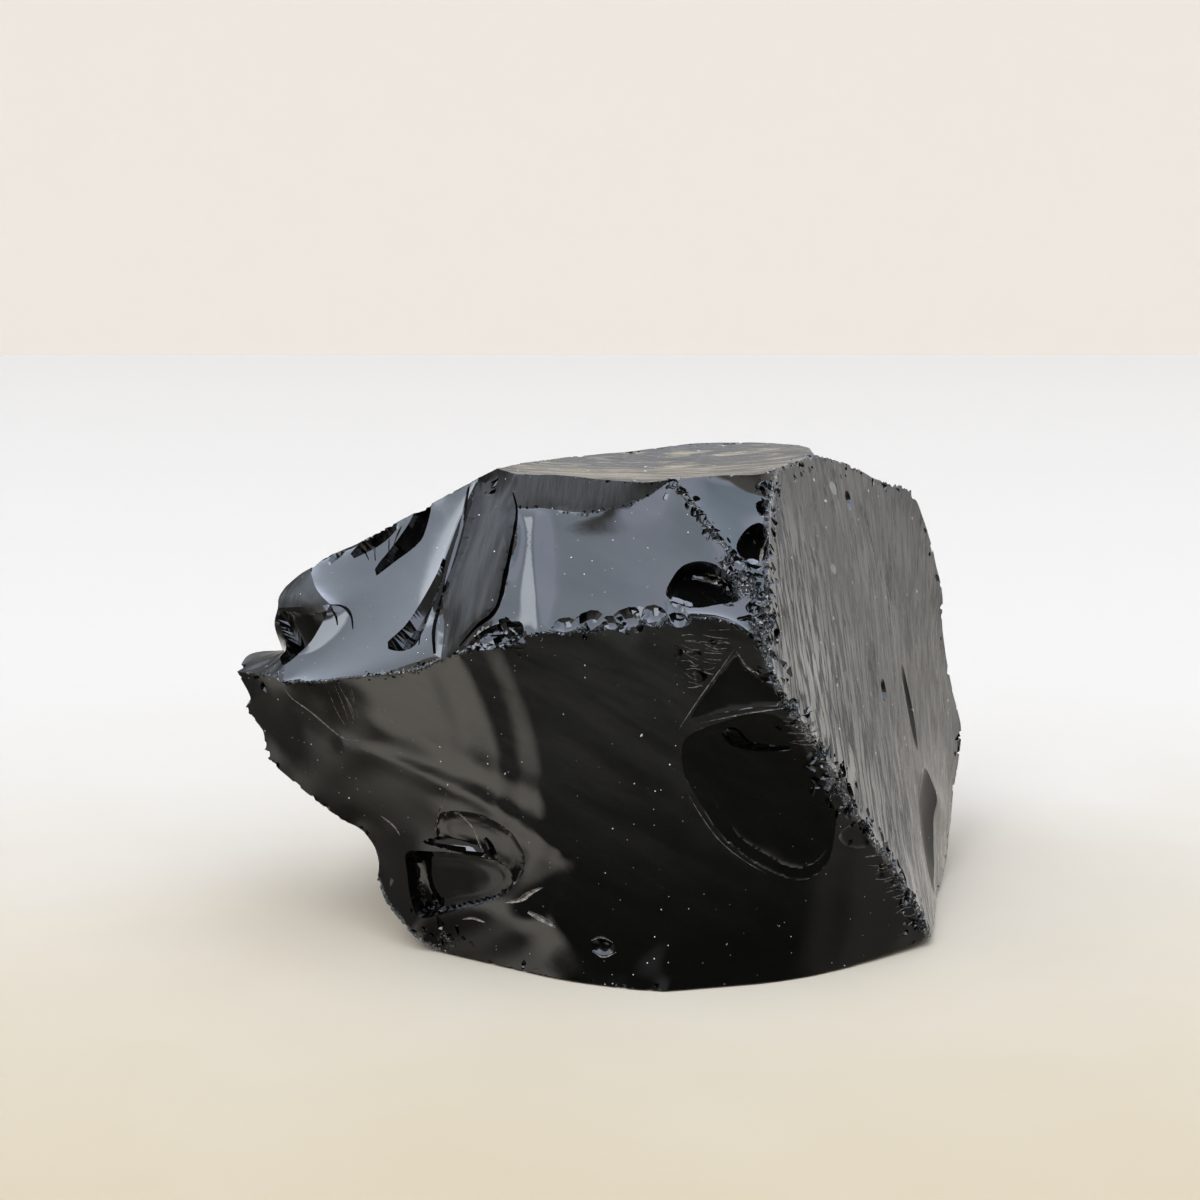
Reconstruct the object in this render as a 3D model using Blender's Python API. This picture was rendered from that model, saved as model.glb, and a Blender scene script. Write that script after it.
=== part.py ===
"""Raw obsidian chunk, about 76 mm wide: one solid of volcanic glass bounded by fracture faces.

The stone is described by its corners and by the arrises, the sharp ridges that join them. Each fracture
face spans a loop of arrises as a smooth dished skin, and conchoidal scars are then cut into the body.
Lengths are in millimetres until the mesh is made in metres. X runs along the stone's width, Y from its
front to its back, Z up, and the stone stands on Z = 0.
"""

import math

import bmesh
import bpy
import numpy as np
from mathutils import Vector, geometry, noise
from mathutils.bvhtree import BVHTree

MM = 0.001
NAME = "obsidian_chunk"
SPACING = 2.6  # distance between neighbouring points of a face
CLEARANCE = 0.62  # the least gap between a face's inner points and its arrises, as a part of the spacing
RAGGED_GRAIN = 0.45  # how fine the small chips along an arris are
FAR = 31.7  # a shift that takes noise to a place unlike the last
EDGE_REACH = 0.6  # how far in from its arrises a face still bends to meet them, as a part of its size,
LEAST_REACH = 8.0  # and at least how far
SHEET_STIFFNESS = 0.1  # how much a face resists curving
MIDDLE = Vector((1.9, 1.1, 0.0))  # the middle of the stone's outline on the ground

CORNERS = {
    # The front, from the wing at the left to the foot at the right.
    "wing_tip": (-36.0, -3.0, 25.7),
    "heel": (-22.0, -8.8, 6.0),
    "base_left": (-15.9, -12.8, 0.3),
    "base_front": (6.0, -22.3, 0.2),
    "foot": (32.5, -11.0, 0.9),
    "foot_back": (34.9, 1.0, 0.4),
    "shoulder": (15.6, -17.0, 31.5),
    "ridge_left": (-30.4, -10.0, 26.6),
    # The lobe above the wing.
    "chip_tip": (-30.5, -6.5, 28.6),
    "lobe_foot": (-32.2, 2.0, 26.6),
    "lobe_side": (-32.2, 0.0, 31.5),
    "lobe_corner": (-25.9, -9.0, 33.2),
    "lobe_top": (-29.5, 4.0, 35.2),
    # The upper front.
    "strip_foot_left": (-14.8, -15.5, 30.2),
    "strip_foot_right": (-13.1, -16.0, 30.9),
    "strip_top_left": (-11.8, -2.5, 45.1),
    "strip_top_right": (-8.0, -6.0, 46.0),
    "band_left": (-7.9, -7.6, 43.0),
    "band_right": (6.9, -6.5, 45.6),
    "diagonal_foot": (15.7, -14.5, 34.7),
    # The top.
    "top_left": (-10.0, -2.5, 46.0),
    "top_corner": (17.3, -1.5, 45.9),
    "peak": (21.5, 6.0, 46.0),
    "rim_back": (33.6, 20.0, 40.2),
    "crest_left": (-2.1, 9.0, 45.4),
    "crest_right": (20.8, 13.0, 45.9),
    # The back and the base.
    "hump": (-7.0, 22.0, 17.0),
    "low_left": (-8.0, 20.0, 1.2),
    "low_right": (24.0, 21.0, 1.0),
    "rest_left": (-14.0, -2.0, 0.0),
    "rest_front": (5.0, -18.5, 0.0),
    "rest_right": (29.5, 1.0, 0.0),
    "rest_back": (9.0, 18.5, 0.0),
}

# Each arris: its two corners, the points between them, and how ragged it is.
ARRISES = [
    ("ridge_left", "wing_tip", [(-31.7, -8.5, 26.7), (-34.0, -5.5, 26.2)], 0.15),
    (
        "wing_tip",
        "heel",
        [
            (-34.5, -4.5, 23.3), (-35.1, -4.0, 22.1), (-33.3, -5.5, 20.4), (-32.8, -6.0, 17.8),
            (-30.5, -7.0, 15.9), (-28.0, -8.0, 14.0), (-25.5, -8.5, 12.3), (-23.6, -8.5, 11.2),
            (-22.3, -9.0, 9.9), (-21.7, -9.0, 7.9),
        ],
        0.3,
    ),
    ("heel", "base_left", [(-21.0, -10.0, 4.2), (-19.5, -11.5, 2.7), (-17.9, -12.5, 1.4)], 0.2),
    ("base_left", "base_front", [(-8.6, -16.9, 0.2), (-3.8, -19.5, 0.2), (1.9, -21.5, 0.2)], 0.1),
    (
        "base_front",
        "foot",
        [(11.2, -21.3, 0.2), (16.0, -20.2, 0.2), (20.8, -18.3, 0.2), (26.0, -15.3, 0.4)],
        0.1,
    ),
    (
        "foot",
        "shoulder",
        [
            (31.4, -11.8, 3.8), (29.8, -12.5, 6.6), (27.3, -14.0, 10.7), (24.3, -15.8, 15.4),
            (21.9, -17.0, 19.7), (19.9, -17.5, 23.2), (18.0, -18.0, 25.9), (16.4, -18.0, 28.9),
        ],
        0.35,
    ),
    ("foot", "foot_back", [(33.8, -5.0, 0.5)], 0.1),
    (
        "shoulder",
        "strip_foot_right",
        [
            (12.3, -17.8, 34.2), (9.1, -17.8, 34.8), (5.9, -17.5, 34.6), (3.7, -17.2, 34.2),
            (0.0, -17.0, 33.6), (-3.7, -17.0, 33.2), (-7.4, -17.0, 32.8), (-10.1, -16.5, 32.0),
        ],
        0.25,
    ),
    ("strip_foot_right", "strip_foot_left", [], 0.2),
    (
        "strip_foot_left",
        "ridge_left",
        [(-17.8, -14.5, 28.8), (-21.2, -13.5, 28.2), (-24.1, -12.5, 27.6), (-27.1, -11.5, 27.0)],
        0.15,
    ),
    # The lobe.
    ("wing_tip", "lobe_foot", [(-35.5, 0.0, 26.5), (-34.3, 2.0, 26.5)], 0.15),
    ("ridge_left", "chip_tip", [], 0.1),
    ("chip_tip", "lobe_foot", [], 0.1),
    ("chip_tip", "lobe_corner", [(-28.2, -8.0, 30.0), (-26.9, -9.0, 31.4)], 0.1),
    ("lobe_foot", "lobe_side", [(-32.6, 0.0, 29.7)], 0.1),
    ("lobe_side", "lobe_corner", [(-28.9, -5.0, 32.3)], 0.1),
    ("lobe_side", "lobe_top", [(-32.2, 1.0, 32.4), (-31.5, 2.0, 33.4), (-30.7, 3.0, 34.2)], 0.1),
    ("lobe_corner", "lobe_top", [(-27.3, -7.5, 33.7), (-28.0, -5.0, 34.2), (-28.7, -1.0, 34.8)], 0.05),
    # The upper front.
    (
        "lobe_top",
        "strip_top_left",
        [
            (-25.7, 3.0, 36.9), (-23.2, 1.5, 38.3), (-20.6, 0.5, 39.9), (-17.4, -0.5, 41.7),
            (-14.8, -1.5, 43.3),
        ],
        0.15,
    ),
    (
        "strip_foot_left",
        "strip_top_left",
        [(-14.6, -13.0, 32.9), (-14.8, -11.5, 35.9), (-13.8, -9.5, 38.1), (-12.7, -6.5, 41.7)],
        0.1,
    ),
    (
        "strip_foot_right",
        "band_left",
        [(-11.5, -15.8, 33.1), (-9.7, -15.0, 34.4), (-8.8, -13.0, 36.9), (-8.2, -10.5, 41.0)],
        0.1,
    ),
    ("band_left", "strip_top_right", [], 0.05),
    (
        "band_left",
        "band_right",
        [(-5.7, -7.8, 43.1), (-2.4, -8.4, 42.8), (0.9, -8.6, 43.1), (4.0, -8.0, 44.0)],
        0.15,
    ),
    (
        "band_right",
        "diagonal_foot",
        [(8.5, -8.0, 43.9), (10.6, -10.0, 41.4), (12.6, -12.0, 38.9), (14.2, -13.5, 36.8)],
        0.3,
    ),
    ("diagonal_foot", "shoulder", [], 0.2),
    ("diagonal_foot", "top_corner", [(15.9, -11.5, 37.8), (16.1, -8.0, 41.0), (16.6, -4.0, 43.6)], 0.35),
    # The top.
    ("strip_top_left", "top_left", [], 0.1),
    ("top_left", "strip_top_right", [], 0.1),
    ("strip_top_right", "band_right", [(-3.8, -6.5, 46.0), (0.0, -7.0, 45.7), (4.1, -7.5, 45.5)], 0.1),
    ("band_right", "top_corner", [(11.5, -5.5, 45.8), (15.5, -4.0, 45.7)], 0.05),
    ("top_corner", "peak", [(18.8, 1.0, 45.9), (20.0, 3.0, 45.9)], 0.25),
    ("peak", "crest_right", [(21.6, 10.0, 46.0)], 0.15),
    (
        "crest_right",
        "crest_left",
        [(17.9, 15.0, 45.8), (14.2, 15.0, 45.9), (9.4, 14.0, 45.9), (4.0, 12.0, 45.5)],
        0.15,
    ),
    ("crest_left", "top_left", [(-6.9, 4.0, 45.6)], 0.15),
    ("peak", "rim_back", [(23.8, 9.0, 45.1), (26.5, 13.0, 43.6), (30.1, 17.0, 41.4)], 0.35),
    (
        "rim_back",
        "foot_back",
        [
            (35.4, 21.0, 36.4), (36.9, 21.0, 31.4), (37.6, 20.0, 28.0), (37.6, 20.0, 24.9),
            (38.3, 20.0, 20.9), (38.9, 19.0, 17.5), (39.8, 18.0, 13.7), (39.3, 16.0, 10.6),
            (38.5, 14.0, 7.2), (37.7, 11.0, 3.1), (36.9, 8.0, 1.0),
        ],
        0.2,
    ),
    # The back.
    ("wing_tip", "hump", [(-31.0, 4.0, 22.0), (-24.0, 11.0, 19.5), (-15.0, 18.0, 18.0)], 0.2),
    ("hump", "crest_left", [(-6.0, 18.0, 30.0), (-4.0, 13.0, 40.0)], 0.2),
    ("hump", "low_left", [(-7.5, 21.8, 8.0)], 0.15),
    ("low_right", "crest_right", [(27.0, 24.0, 12.0), (27.5, 24.0, 25.0), (25.5, 20.0, 37.0)], 0.2),
    ("foot_back", "low_right", [(32.0, 11.0, 0.8), (29.0, 17.0, 0.9)], 0.1),
    ("low_right", "low_left", [(15.0, 23.5, 0.9), (4.0, 23.0, 0.9)], 0.1),
    ("low_left", "heel", [(-12.0, 14.0, 1.6), (-17.0, 6.0, 2.6), (-20.5, -2.0, 4.4)], 0.15),
    # The flat that the stone rests on.
    ("rest_left", "rest_front", [(-10.0, -10.0, 0.0), (-2.0, -16.0, 0.0)], 0.0),
    ("rest_front", "rest_right", [(16.0, -16.5, 0.0), (26.0, -9.5, 0.0)], 0.0),
    ("rest_right", "rest_back", [(27.0, 11.0, 0.0), (20.0, 17.5, 0.0)], 0.0),
    ("rest_back", "rest_left", [(-3.0, 16.0, 0.0), (-11.0, 8.0, 0.0)], 0.0),
    ("heel", "rest_left", [(-17.5, -5.0, 1.6)], 0.0),
    ("foot_back", "rest_right", [], 0.0),
]

# Each face: its corners in turn, anticlockwise from outside, and how far its middle stands out (+) or in
# (-).
FACES = {
    "lower_front": (
        [
            "ridge_left", "wing_tip", "heel", "base_left", "base_front",
            "foot", "shoulder", "strip_foot_right", "strip_foot_left",
        ],
        0.5,
    ),
    "wing_shelf": (["wing_tip", "ridge_left", "chip_tip", "lobe_foot"], -0.2),
    "lobe_chip": (["lobe_foot", "chip_tip", "lobe_corner", "lobe_side"], -0.8),
    "lobe_cap": (["lobe_side", "lobe_corner", "lobe_top"], 0.3),
    "upper_left": (
        ["ridge_left", "strip_foot_left", "strip_top_left", "lobe_top", "lobe_corner", "chip_tip"],
        -1.2,
    ),
    "strip": (
        ["strip_foot_left", "strip_foot_right", "band_left", "strip_top_right", "top_left", "strip_top_left"],
        0.2,
    ),
    "band": (["band_left", "band_right", "strip_top_right"], 0.1),
    "upper_middle": (["strip_foot_right", "shoulder", "diagonal_foot", "band_right", "band_left"], -0.6),
    "upper_right": (["diagonal_foot", "top_corner", "band_right"], -0.4),
    "top": (
        ["top_left", "strip_top_right", "band_right", "top_corner", "peak", "crest_right", "crest_left"],
        -0.5,
    ),
    "right": (["foot", "foot_back", "rim_back", "peak", "top_corner", "diagonal_foot", "shoulder"], 0.6),
    "back_left": (
        [
            "hump", "wing_tip", "lobe_foot", "lobe_side",
            "lobe_top", "strip_top_left", "top_left", "crest_left",
        ],
        -0.3,
    ),
    "under_left": (["hump", "low_left", "heel", "wing_tip"], -0.4),
    "back": (["low_right", "low_left", "hump", "crest_left", "crest_right"], -0.3),
    "back_right": (["foot_back", "low_right", "crest_right", "peak", "rim_back"], -0.4),
    "rim_front": (
        ["rest_left", "rest_front", "rest_right", "foot_back", "foot", "base_front", "base_left", "heel"],
        0.0,
    ),
    "rim_back": (["rest_right", "rest_back", "rest_left", "heel", "low_left", "low_right", "foot_back"], 0.0),
    "rest": (["rest_right", "rest_front", "rest_left", "rest_back"], 0.0),
}


# Each conchoidal scar: a point on the face it is struck in, its half length, half width and depth, and its
# turn in the face, in degrees anticlockwise from level as seen from outside.
SCARS = [
    # The lower front: the great scar, its pocket and the small scar at its foot.
    ((15.2, -18.6, 17.8), 9.2, 5.6, 1.0, -45),
    ((15.0, -18.5, 22.7), 2.8, 1.0, 1.2, -12),
    ((24.9, -15.3, 12.7), 2.8, 1.4, 0.7, -5),
    ((12.6, -18.4, 28.6), 4.4, 3.2, 0.6, 60),
    # The lower front, at the left: the scoop, its slit, the wing's flake and the heel's.
    ((-12.4, -15.6, 9.4), 5.4, 4.2, 1.3, -20),
    ((-14.0, -15.0, 12.0), 3.2, 1.0, 1.8, -10),
    ((-30.2, -7.4, 18.2), 7.0, 4.6, 0.8, -42),
    ((-20.6, -10.2, 5.8), 5.4, 1.8, 0.8, 78),
    ((-6.6, -17.6, 6.6), 2.8, 1.3, 0.5, -30),
    ((0.1, -19.6, 3.3), 1.3, 0.9, 0.4, 0),
    # The upper front: the two scoops, the fan chip, the feather flute and the chip in the lobe.
    ((8.9, -14.5, 36.7), 3.0, 2.3, 1.6, 25),
    ((14.4, -9.7, 39.6), 2.4, 1.8, 1.5, 60),
    ((-10.0, -16.0, 33.0), 2.7, 1.2, 0.8, 15),
    ((-20.9, -1.5, 38.2), 5.4, 1.6, 0.6, 38),
    ((-24.8, -9.4, 32.0), 1.4, 0.9, 0.6, -30),
    # The ridge between the upper and the lower front.
    ((-1.2, -17.0, 33.8), 1.5, 1.1, 0.7, 0),
    ((1.6, -16.8, 34.2), 1.9, 1.3, 0.8, 10),
    ((4.7, -17.0, 34.4), 1.7, 1.2, 0.7, 0),
    # The right face and the top.
    ((25.7, 8.6, 40.9), 1.1, 0.7, 0.5, 60),
    ((32.0, 5.8, 19.8), 5.0, 0.9, 0.5, 80),
    ((34.4, 1.2, 7.3), 6.0, 3.2, 1.0, 70),
    ((28.7, 0.0, 23.0), 1.2, 0.6, 0.4, 70),
    ((13.1, 7.0, 45.4), 7.5, 3.4, 0.7, 10),
    # The back and the undersides: broad flakes that overlap and break through the arrises.
    ((4.0, 22.0, 33.0), 17.0, 11.5, 2.8, 20),
    ((21.0, 22.0, 31.0), 14.0, 10.0, 2.6, -60),
    ((10.0, 25.0, 12.0), 20.0, 10.5, 2.8, 5),
    ((-6.0, 21.0, 18.0), 12.0, 9.0, 2.4, 75),
    ((-22.0, 9.0, 27.0), 12.0, 8.0, 2.2, 20),
    ((-9.0, 13.0, 37.0), 9.5, 6.0, 1.6, 50),
    ((32.0, 21.5, 22.0), 15.0, 5.5, 1.6, 78),
    ((-21.0, 8.0, 14.0), 14.0, 9.0, 2.0, 30),
]
SCAR_REACH = 1.5  # how far out the scar's bowl goes on above the face, as a part of its size
SCAR_STEP = 2.5  # distance between neighbouring points of a scar
WAVE = 0.07  # the height of a scar's ripples, as a part of its depth,
WAVES = 2.5  # and how many there are between its middle and its rim

# Each chipped arris: its corners, how many chips are out of it, and a chip's size.
CHIPPED = [
    ("foot", "shoulder", 8, 1.7),
    ("diagonal_foot", "top_corner", 4, 1.4),
    ("band_right", "diagonal_foot", 4, 1.1),
    ("shoulder", "strip_foot_right", 2, 1.2),
    ("peak", "rim_back", 3, 1.5),
    ("rim_back", "foot_back", 4, 1.6),
    ("wing_tip", "heel", 3, 1.4),
    ("lobe_top", "strip_top_left", 3, 1.1),
    ("crest_right", "crest_left", 3, 1.4),
    ("hump", "crest_left", 2, 2.0),
    ("low_right", "crest_right", 3, 2.2),
    ("wing_tip", "hump", 3, 2.0),
]
# Each crushed place: its middle, how far it spreads, how many chips it holds, and a chip's size.
CRUSHED = [
    ((13.4, -13.6, 36.2), 2.2, 7, 1.8),
    ((22.4, -17.0, 17.4), 1.8, 4, 1.6),
    ((-12.8, -14.8, 1.6), 2.0, 3, 1.6),
]
CHIP_POINTS = 9
CHIP_RISE = 0.35  # how far out from the face a chip's middle is, as a part of its size
SLIVER = 0.02  # the longest edge that is closed up after a cut


def smooth_curve(points, steps=12):
    """A curve through the points, as a Catmull-Rom spline."""
    path = [points[0] * 2 - points[1], *points, points[-1] * 2 - points[-2]]
    found = []
    for a, b, c, d in zip(path, path[1:], path[2:], path[3:]):
        slope = (c - a) / 2
        bend = (2 * a - 5 * b + 4 * c - d) / 2
        twist = (3 * b - a - 3 * c + d) / 2
        for step in range(steps):
            t = step / steps
            found.append(b + slope * t + bend * t**2 + twist * t**3)
    return [*found, points[-1]]


def evenly(path, spacing):
    """The path's points moved to even distances near spacing, its two ends kept."""
    lengths = [0.0]
    for a, b in zip(path, path[1:]):
        lengths.append(lengths[-1] + (b - a).length)
    count = max(min(3, round(lengths[-1])), round(lengths[-1] / spacing))
    wanted = np.linspace(0, lengths[-1], count + 1)
    columns = [np.interp(wanted, lengths, [p[axis] for p in path]) for axis in range(3)]
    return [Vector(p) for p in zip(*columns)]


def ragged(path, amount, seed):
    """The path with small chips broken out of it: points move by noise, and the ends stay."""
    for i in range(1, len(path) - 1):
        place = path[i] * RAGGED_GRAIN + Vector((seed * FAR, 0, 0))
        shift = [noise.noise(place + Vector((0, 0, axis * FAR))) for axis in range(3)]
        path[i] = path[i] + Vector(shift) * amount
    return path


def arris_points(corners):
    """The points along each arris, by its two corners."""
    found = {}
    for seed, (start, end, between, roughness) in enumerate(ARRISES):
        route = [corners[start], *map(Vector, between), corners[end]]
        found[start, end] = ragged(evenly(smooth_curve(route), SPACING), roughness, seed)
    return found


def mean_value_weights(points, outline):
    """How much each outline point counts at each inner point: mean value coordinates."""
    away = outline[None] - points[:, None]
    ahead = np.roll(away, -1, axis=1)
    reach = np.linalg.norm(away, axis=2)
    reach_ahead = np.roll(reach, -1, axis=1)
    cross = away[..., 0] * ahead[..., 1] - away[..., 1] * ahead[..., 0]
    dot = (away * ahead).sum(axis=2)
    half_tan = (reach * reach_ahead - dot) / np.where(np.abs(cross) < 1e-9, 1e-9, cross)
    weights = (half_tan + np.roll(half_tan, 1, axis=1)) / reach
    return weights / weights.sum(axis=1, keepdims=True)


def inside(points, outline):
    """Which points lie inside the closed outline."""
    x, y = points[:, None, 0], points[:, None, 1]
    x0, y0 = outline[:, 0], outline[:, 1]
    x1, y1 = np.roll(x0, -1), np.roll(y0, -1)
    crosses = (y0 > y) != (y1 > y)
    rise = np.where(y1 == y0, 1e-12, y1 - y0)
    return (crosses & (x < (x1 - x0) * (y - y0) / rise + x0)).sum(axis=1) % 2 == 1


def inner_grid(outline):
    """Points of a triangular grid inside the outline, clear of it."""
    low, high = outline.min(axis=0), outline.max(axis=0)
    row_height = SPACING * math.sqrt(3) / 2
    rows = np.arange(low[1], high[1], row_height)
    grid = np.array(
        [
            (x + (row % 2) * SPACING / 2, y)
            for row, y in enumerate(rows)
            for x in np.arange(low[0], high[0], SPACING)
        ]
    )
    grid = grid[inside(grid, outline)]
    gap = np.linalg.norm(grid[:, None] - outline[None], axis=2).min(axis=1)
    return grid[gap > SPACING * CLEARANCE]


def filled(outline, grid):
    """Triangles over the outline's inside that join its points and the grid's."""
    flat = np.concatenate([outline, grid])
    places, _, faces, sources, *_ = geometry.delaunay_2d_cdt(
        [Vector(p) for p in flat], [], [range(len(outline))], 1, 1e-7, True
    )
    middles = np.array([sum((places[i] for i in face), Vector((0, 0))) / 3 for face in faces])
    kept = inside(middles, outline)
    return [[sources[i][0] for i in face] for face, keep in zip(faces, kept) if keep]


def loop_frame(loop):
    """The middle of a loop of points, and two axes of its plane with the normal third."""
    middle = loop.mean(axis=0)
    ahead = np.roll(loop, -1, axis=0)
    normal = np.cross(loop - middle, ahead - middle).sum(axis=0)
    normal /= np.linalg.norm(normal)
    across = np.cross((0.0, 0.0, 1.0) if abs(normal[2]) < 0.9 else (0.0, 1.0, 0.0), normal)
    across /= np.linalg.norm(across)
    return middle, across, np.cross(normal, across), normal


def fitted_sheet(flat, height):
    """The smoothest curved sheet near the outline's heights, as a function of the place in the plane."""
    size = np.linalg.norm(flat, axis=1).max()

    def terms(places):
        u, v = (places / size).T
        return np.column_stack([np.ones_like(u), u, v, u * u, u * v, v * v, u**3, u * u * v, u * v * v, v**3])

    stiffness = np.diag([0.0] * 3 + [1.0] * 7) * SHEET_STIFFNESS * math.sqrt(len(flat))
    known = np.vstack([terms(flat), stiffness])
    weights = np.linalg.lstsq(known, np.concatenate([height, np.zeros(10)]), rcond=None)[0]
    return lambda places: terms(places) @ weights


def face_skin(loop, bulge):
    """The inner points and the triangles of a smooth face that spans the loop.

    Triangles count the loop's points first, then the inner ones.
    """
    middle, across, up, normal = loop_frame(loop)
    flat = np.column_stack([(loop - middle) @ across, (loop - middle) @ up])
    grid = inner_grid(flat)
    triangles = filled(flat, grid)
    weights = mean_value_weights(grid, flat)
    sheet = fitted_sheet(flat, (loop - middle) @ normal)
    # The face keeps to the smooth sheet, and bends to meet its outline only near it.
    gap = np.linalg.norm(grid[:, None] - flat[None], axis=2).min(axis=1)
    reach = max(LEAST_REACH, EDGE_REACH * np.linalg.norm(flat, axis=1).max())
    height = sheet(grid) + weights @ ((loop - middle) @ normal - sheet(flat)) * np.exp(-gap / reach)
    # The mean of the outline's squared reach, less the point's own, is a dome that is 0 on the outline.
    dome = weights @ (flat**2).sum(axis=1) - (grid**2).sum(axis=1)
    height += bulge * dome / dome.max()
    inner = middle + np.outer(grid[:, 0], across) + np.outer(grid[:, 1], up) + np.outer(height, normal)
    return inner, triangles


def body_mesh(arrises):
    """The whole body as one closed bmesh, in metres."""
    points, index = [], {}

    def number_of(key, place):
        if key not in index:
            index[key] = len(points)
            points.append(place)
        return index[key]

    def side(start, end):
        """The point numbers from one corner up to, not including, the next."""
        flip = (start, end) not in arrises
        key = (end, start) if flip else (start, end)
        path = arrises[key]
        numbers = [number_of(key[0], path[0])]
        numbers += [number_of((key, i), path[i]) for i in range(1, len(path) - 1)]
        numbers.append(number_of(key[1], path[-1]))
        return numbers[::-1][:-1] if flip else numbers[:-1]

    triangles = []
    for ring, bulge in FACES.values():
        loop = [n for a, b in zip(ring, ring[1:] + ring[:1]) for n in side(a, b)]
        inner, faces = face_skin(np.array([points[n] for n in loop]), bulge)
        numbers = loop + list(range(len(points), len(points) + len(inner)))
        points.extend(Vector(p) for p in inner)
        triangles += [[numbers[i] for i in face] for face in faces]

    body = bmesh.new()
    made = [body.verts.new((point - MIDDLE) * MM) for point in points]
    for triangle in triangles:
        body.faces.new([made[i] for i in triangle])
    body.normal_update()
    return body


def face_axes(normal):
    """The level and the rising axis of a face with this outward normal."""
    across = Vector((0, 0, 1)) if abs(normal.z) < 0.9 else Vector((0, 1, 0))
    across = across.cross(normal).normalized()
    return across, normal.cross(across)


def add_scar(cutter, place, normal, scar):
    """Adds a closed bowl to the cutter, with its rim on the face and its lid outside."""
    _, half_length, half_width, depth, turn = scar
    level, rising = face_axes(normal)
    angle = math.radians(turn)
    along = level * math.cos(angle) + rising * math.sin(angle)
    across = normal.cross(along)
    ring_count = max(3, round(SCAR_REACH * half_length / SCAR_STEP))
    spokes = max(8, round(math.pi * (half_length + half_width) / SCAR_STEP))

    def point(reach, spoke):
        phase = math.tau * spoke / spokes
        ripple = WAVE * math.cos(math.tau * WAVES * reach) * (1 - reach) if reach < 1 else 0.0
        rise = depth * (reach**2 - 1 + ripple)
        flat = along * (half_length * math.cos(phase)) + across * (half_width * math.sin(phase))
        return cutter.verts.new((place + flat * reach + normal * rise) * MM)

    rings = [
        [point(SCAR_REACH * ring / ring_count, i) for i in range(spokes)] for ring in range(1, ring_count + 1)
    ]
    bottom = point(0.0, 0)
    for inner, outer in zip(rings, rings[1:]):
        for i in range(spokes):
            j = (i + 1) % spokes
            cutter.faces.new([inner[i], inner[j], outer[j], outer[i]])
    for i in range(spokes):
        cutter.faces.new([bottom, rings[0][(i + 1) % spokes], rings[0][i]])
    cutter.faces.new(rings[-1])


def add_chip(cutter, place, size, rng):
    """Adds an angular lump to the cutter: the hull of a few points about the place."""
    directions = rng.normal(size=(CHIP_POINTS, 3))
    directions /= np.linalg.norm(directions, axis=1, keepdims=True)
    stretch = rng.uniform(0.7, 1.3, 3) * size
    points = [cutter.verts.new((place + Vector(direction * stretch)) * MM) for direction in directions]
    hull = bmesh.ops.convex_hull(cutter, input=points)
    bmesh.ops.delete(cutter, geom=hull["geom_interior"], context="VERTS")


def scars(stone):
    """A cutter for each scar of the stone."""
    cutters = []
    for scar in SCARS:
        place, normal, _, _ = stone.find_nearest((Vector(scar[0]) - MIDDLE) * MM)
        cutter = bmesh.new()
        add_scar(cutter, place / MM, normal, scar)
        cutters.append(cutter)
    return cutters


def chips(stone, arrises):
    """A cutter for each chip of the stone's arrises and crushed places."""
    rng = np.random.default_rng(11)
    places = []
    for start, end, count, size in CHIPPED:
        path = arrises[start, end]
        places += [(path[i], size) for i in rng.choice(len(path), count, replace=False)]
    for middle, spread, count, size in CRUSHED:
        places += [(Vector(middle) + Vector(rng.normal(size=3)) * spread, size) for _ in range(count)]
    cutters = []
    for place, size in places:
        size *= rng.uniform(0.6, 1.2)
        surface, normal, _, _ = stone.find_nearest((place - MIDDLE) * MM)
        cutter = bmesh.new()
        add_chip(cutter, surface / MM + normal * size * CHIP_RISE, size, rng)
        cutters.append(cutter)
    return cutters


def new_object(name, made):
    """An object of this name from the bmesh, in the scene."""
    bmesh.ops.triangulate(made, faces=made.faces)
    bmesh.ops.recalc_face_normals(made, faces=made.faces)
    mesh = bpy.data.meshes.new(name)
    made.to_mesh(mesh)
    made.free()
    thing = bpy.data.objects.new(name, mesh)
    bpy.context.scene.collection.objects.link(thing)
    return thing


def cut_away(stone, cutters):
    """Cuts the cutters out of the stone, one after another."""
    for cutter in cutters:
        tool = new_object("cutter", cutter)
        cut = stone.modifiers.new("cut", "BOOLEAN")
        cut.operation = "DIFFERENCE"
        cut.solver = "EXACT"
        cut.object = tool
        cut_mesh = bpy.data.meshes.new_from_object(stone.evaluated_get(bpy.context.evaluated_depsgraph_get()))
        stone.modifiers.clear()
        bpy.data.objects.remove(tool)
        cut_body = bmesh.new()
        cut_body.from_mesh(cut_mesh)
        tidy(cut_body)
        cut_body.to_mesh(stone.data)
        cut_body.free()
        bpy.data.meshes.remove(cut_mesh)


def tidy(body):
    """Leaves the body in triangles, without slivers and without crumbs that came loose from it."""
    bmesh.ops.triangulate(body, faces=body.faces)
    bmesh.ops.dissolve_degenerate(body, dist=SLIVER * MM, edges=body.edges)
    bmesh.ops.triangulate(body, faces=body.faces)
    largest = max(loose_parts(body), key=len)
    crumbs = [vert for vert in body.verts if vert not in largest]
    bmesh.ops.delete(body, geom=crumbs, context="VERTS")


def loose_parts(body):
    """The sets of vertices that edges join."""
    left = set(body.verts)
    parts = []
    while left:
        part = {left.pop()}
        edge = part
        while edge:
            edge = {joined.other_vert(vert) for vert in edge for joined in vert.link_edges} - part
            part |= edge
        left -= part
        parts.append(part)
    return parts


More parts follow.
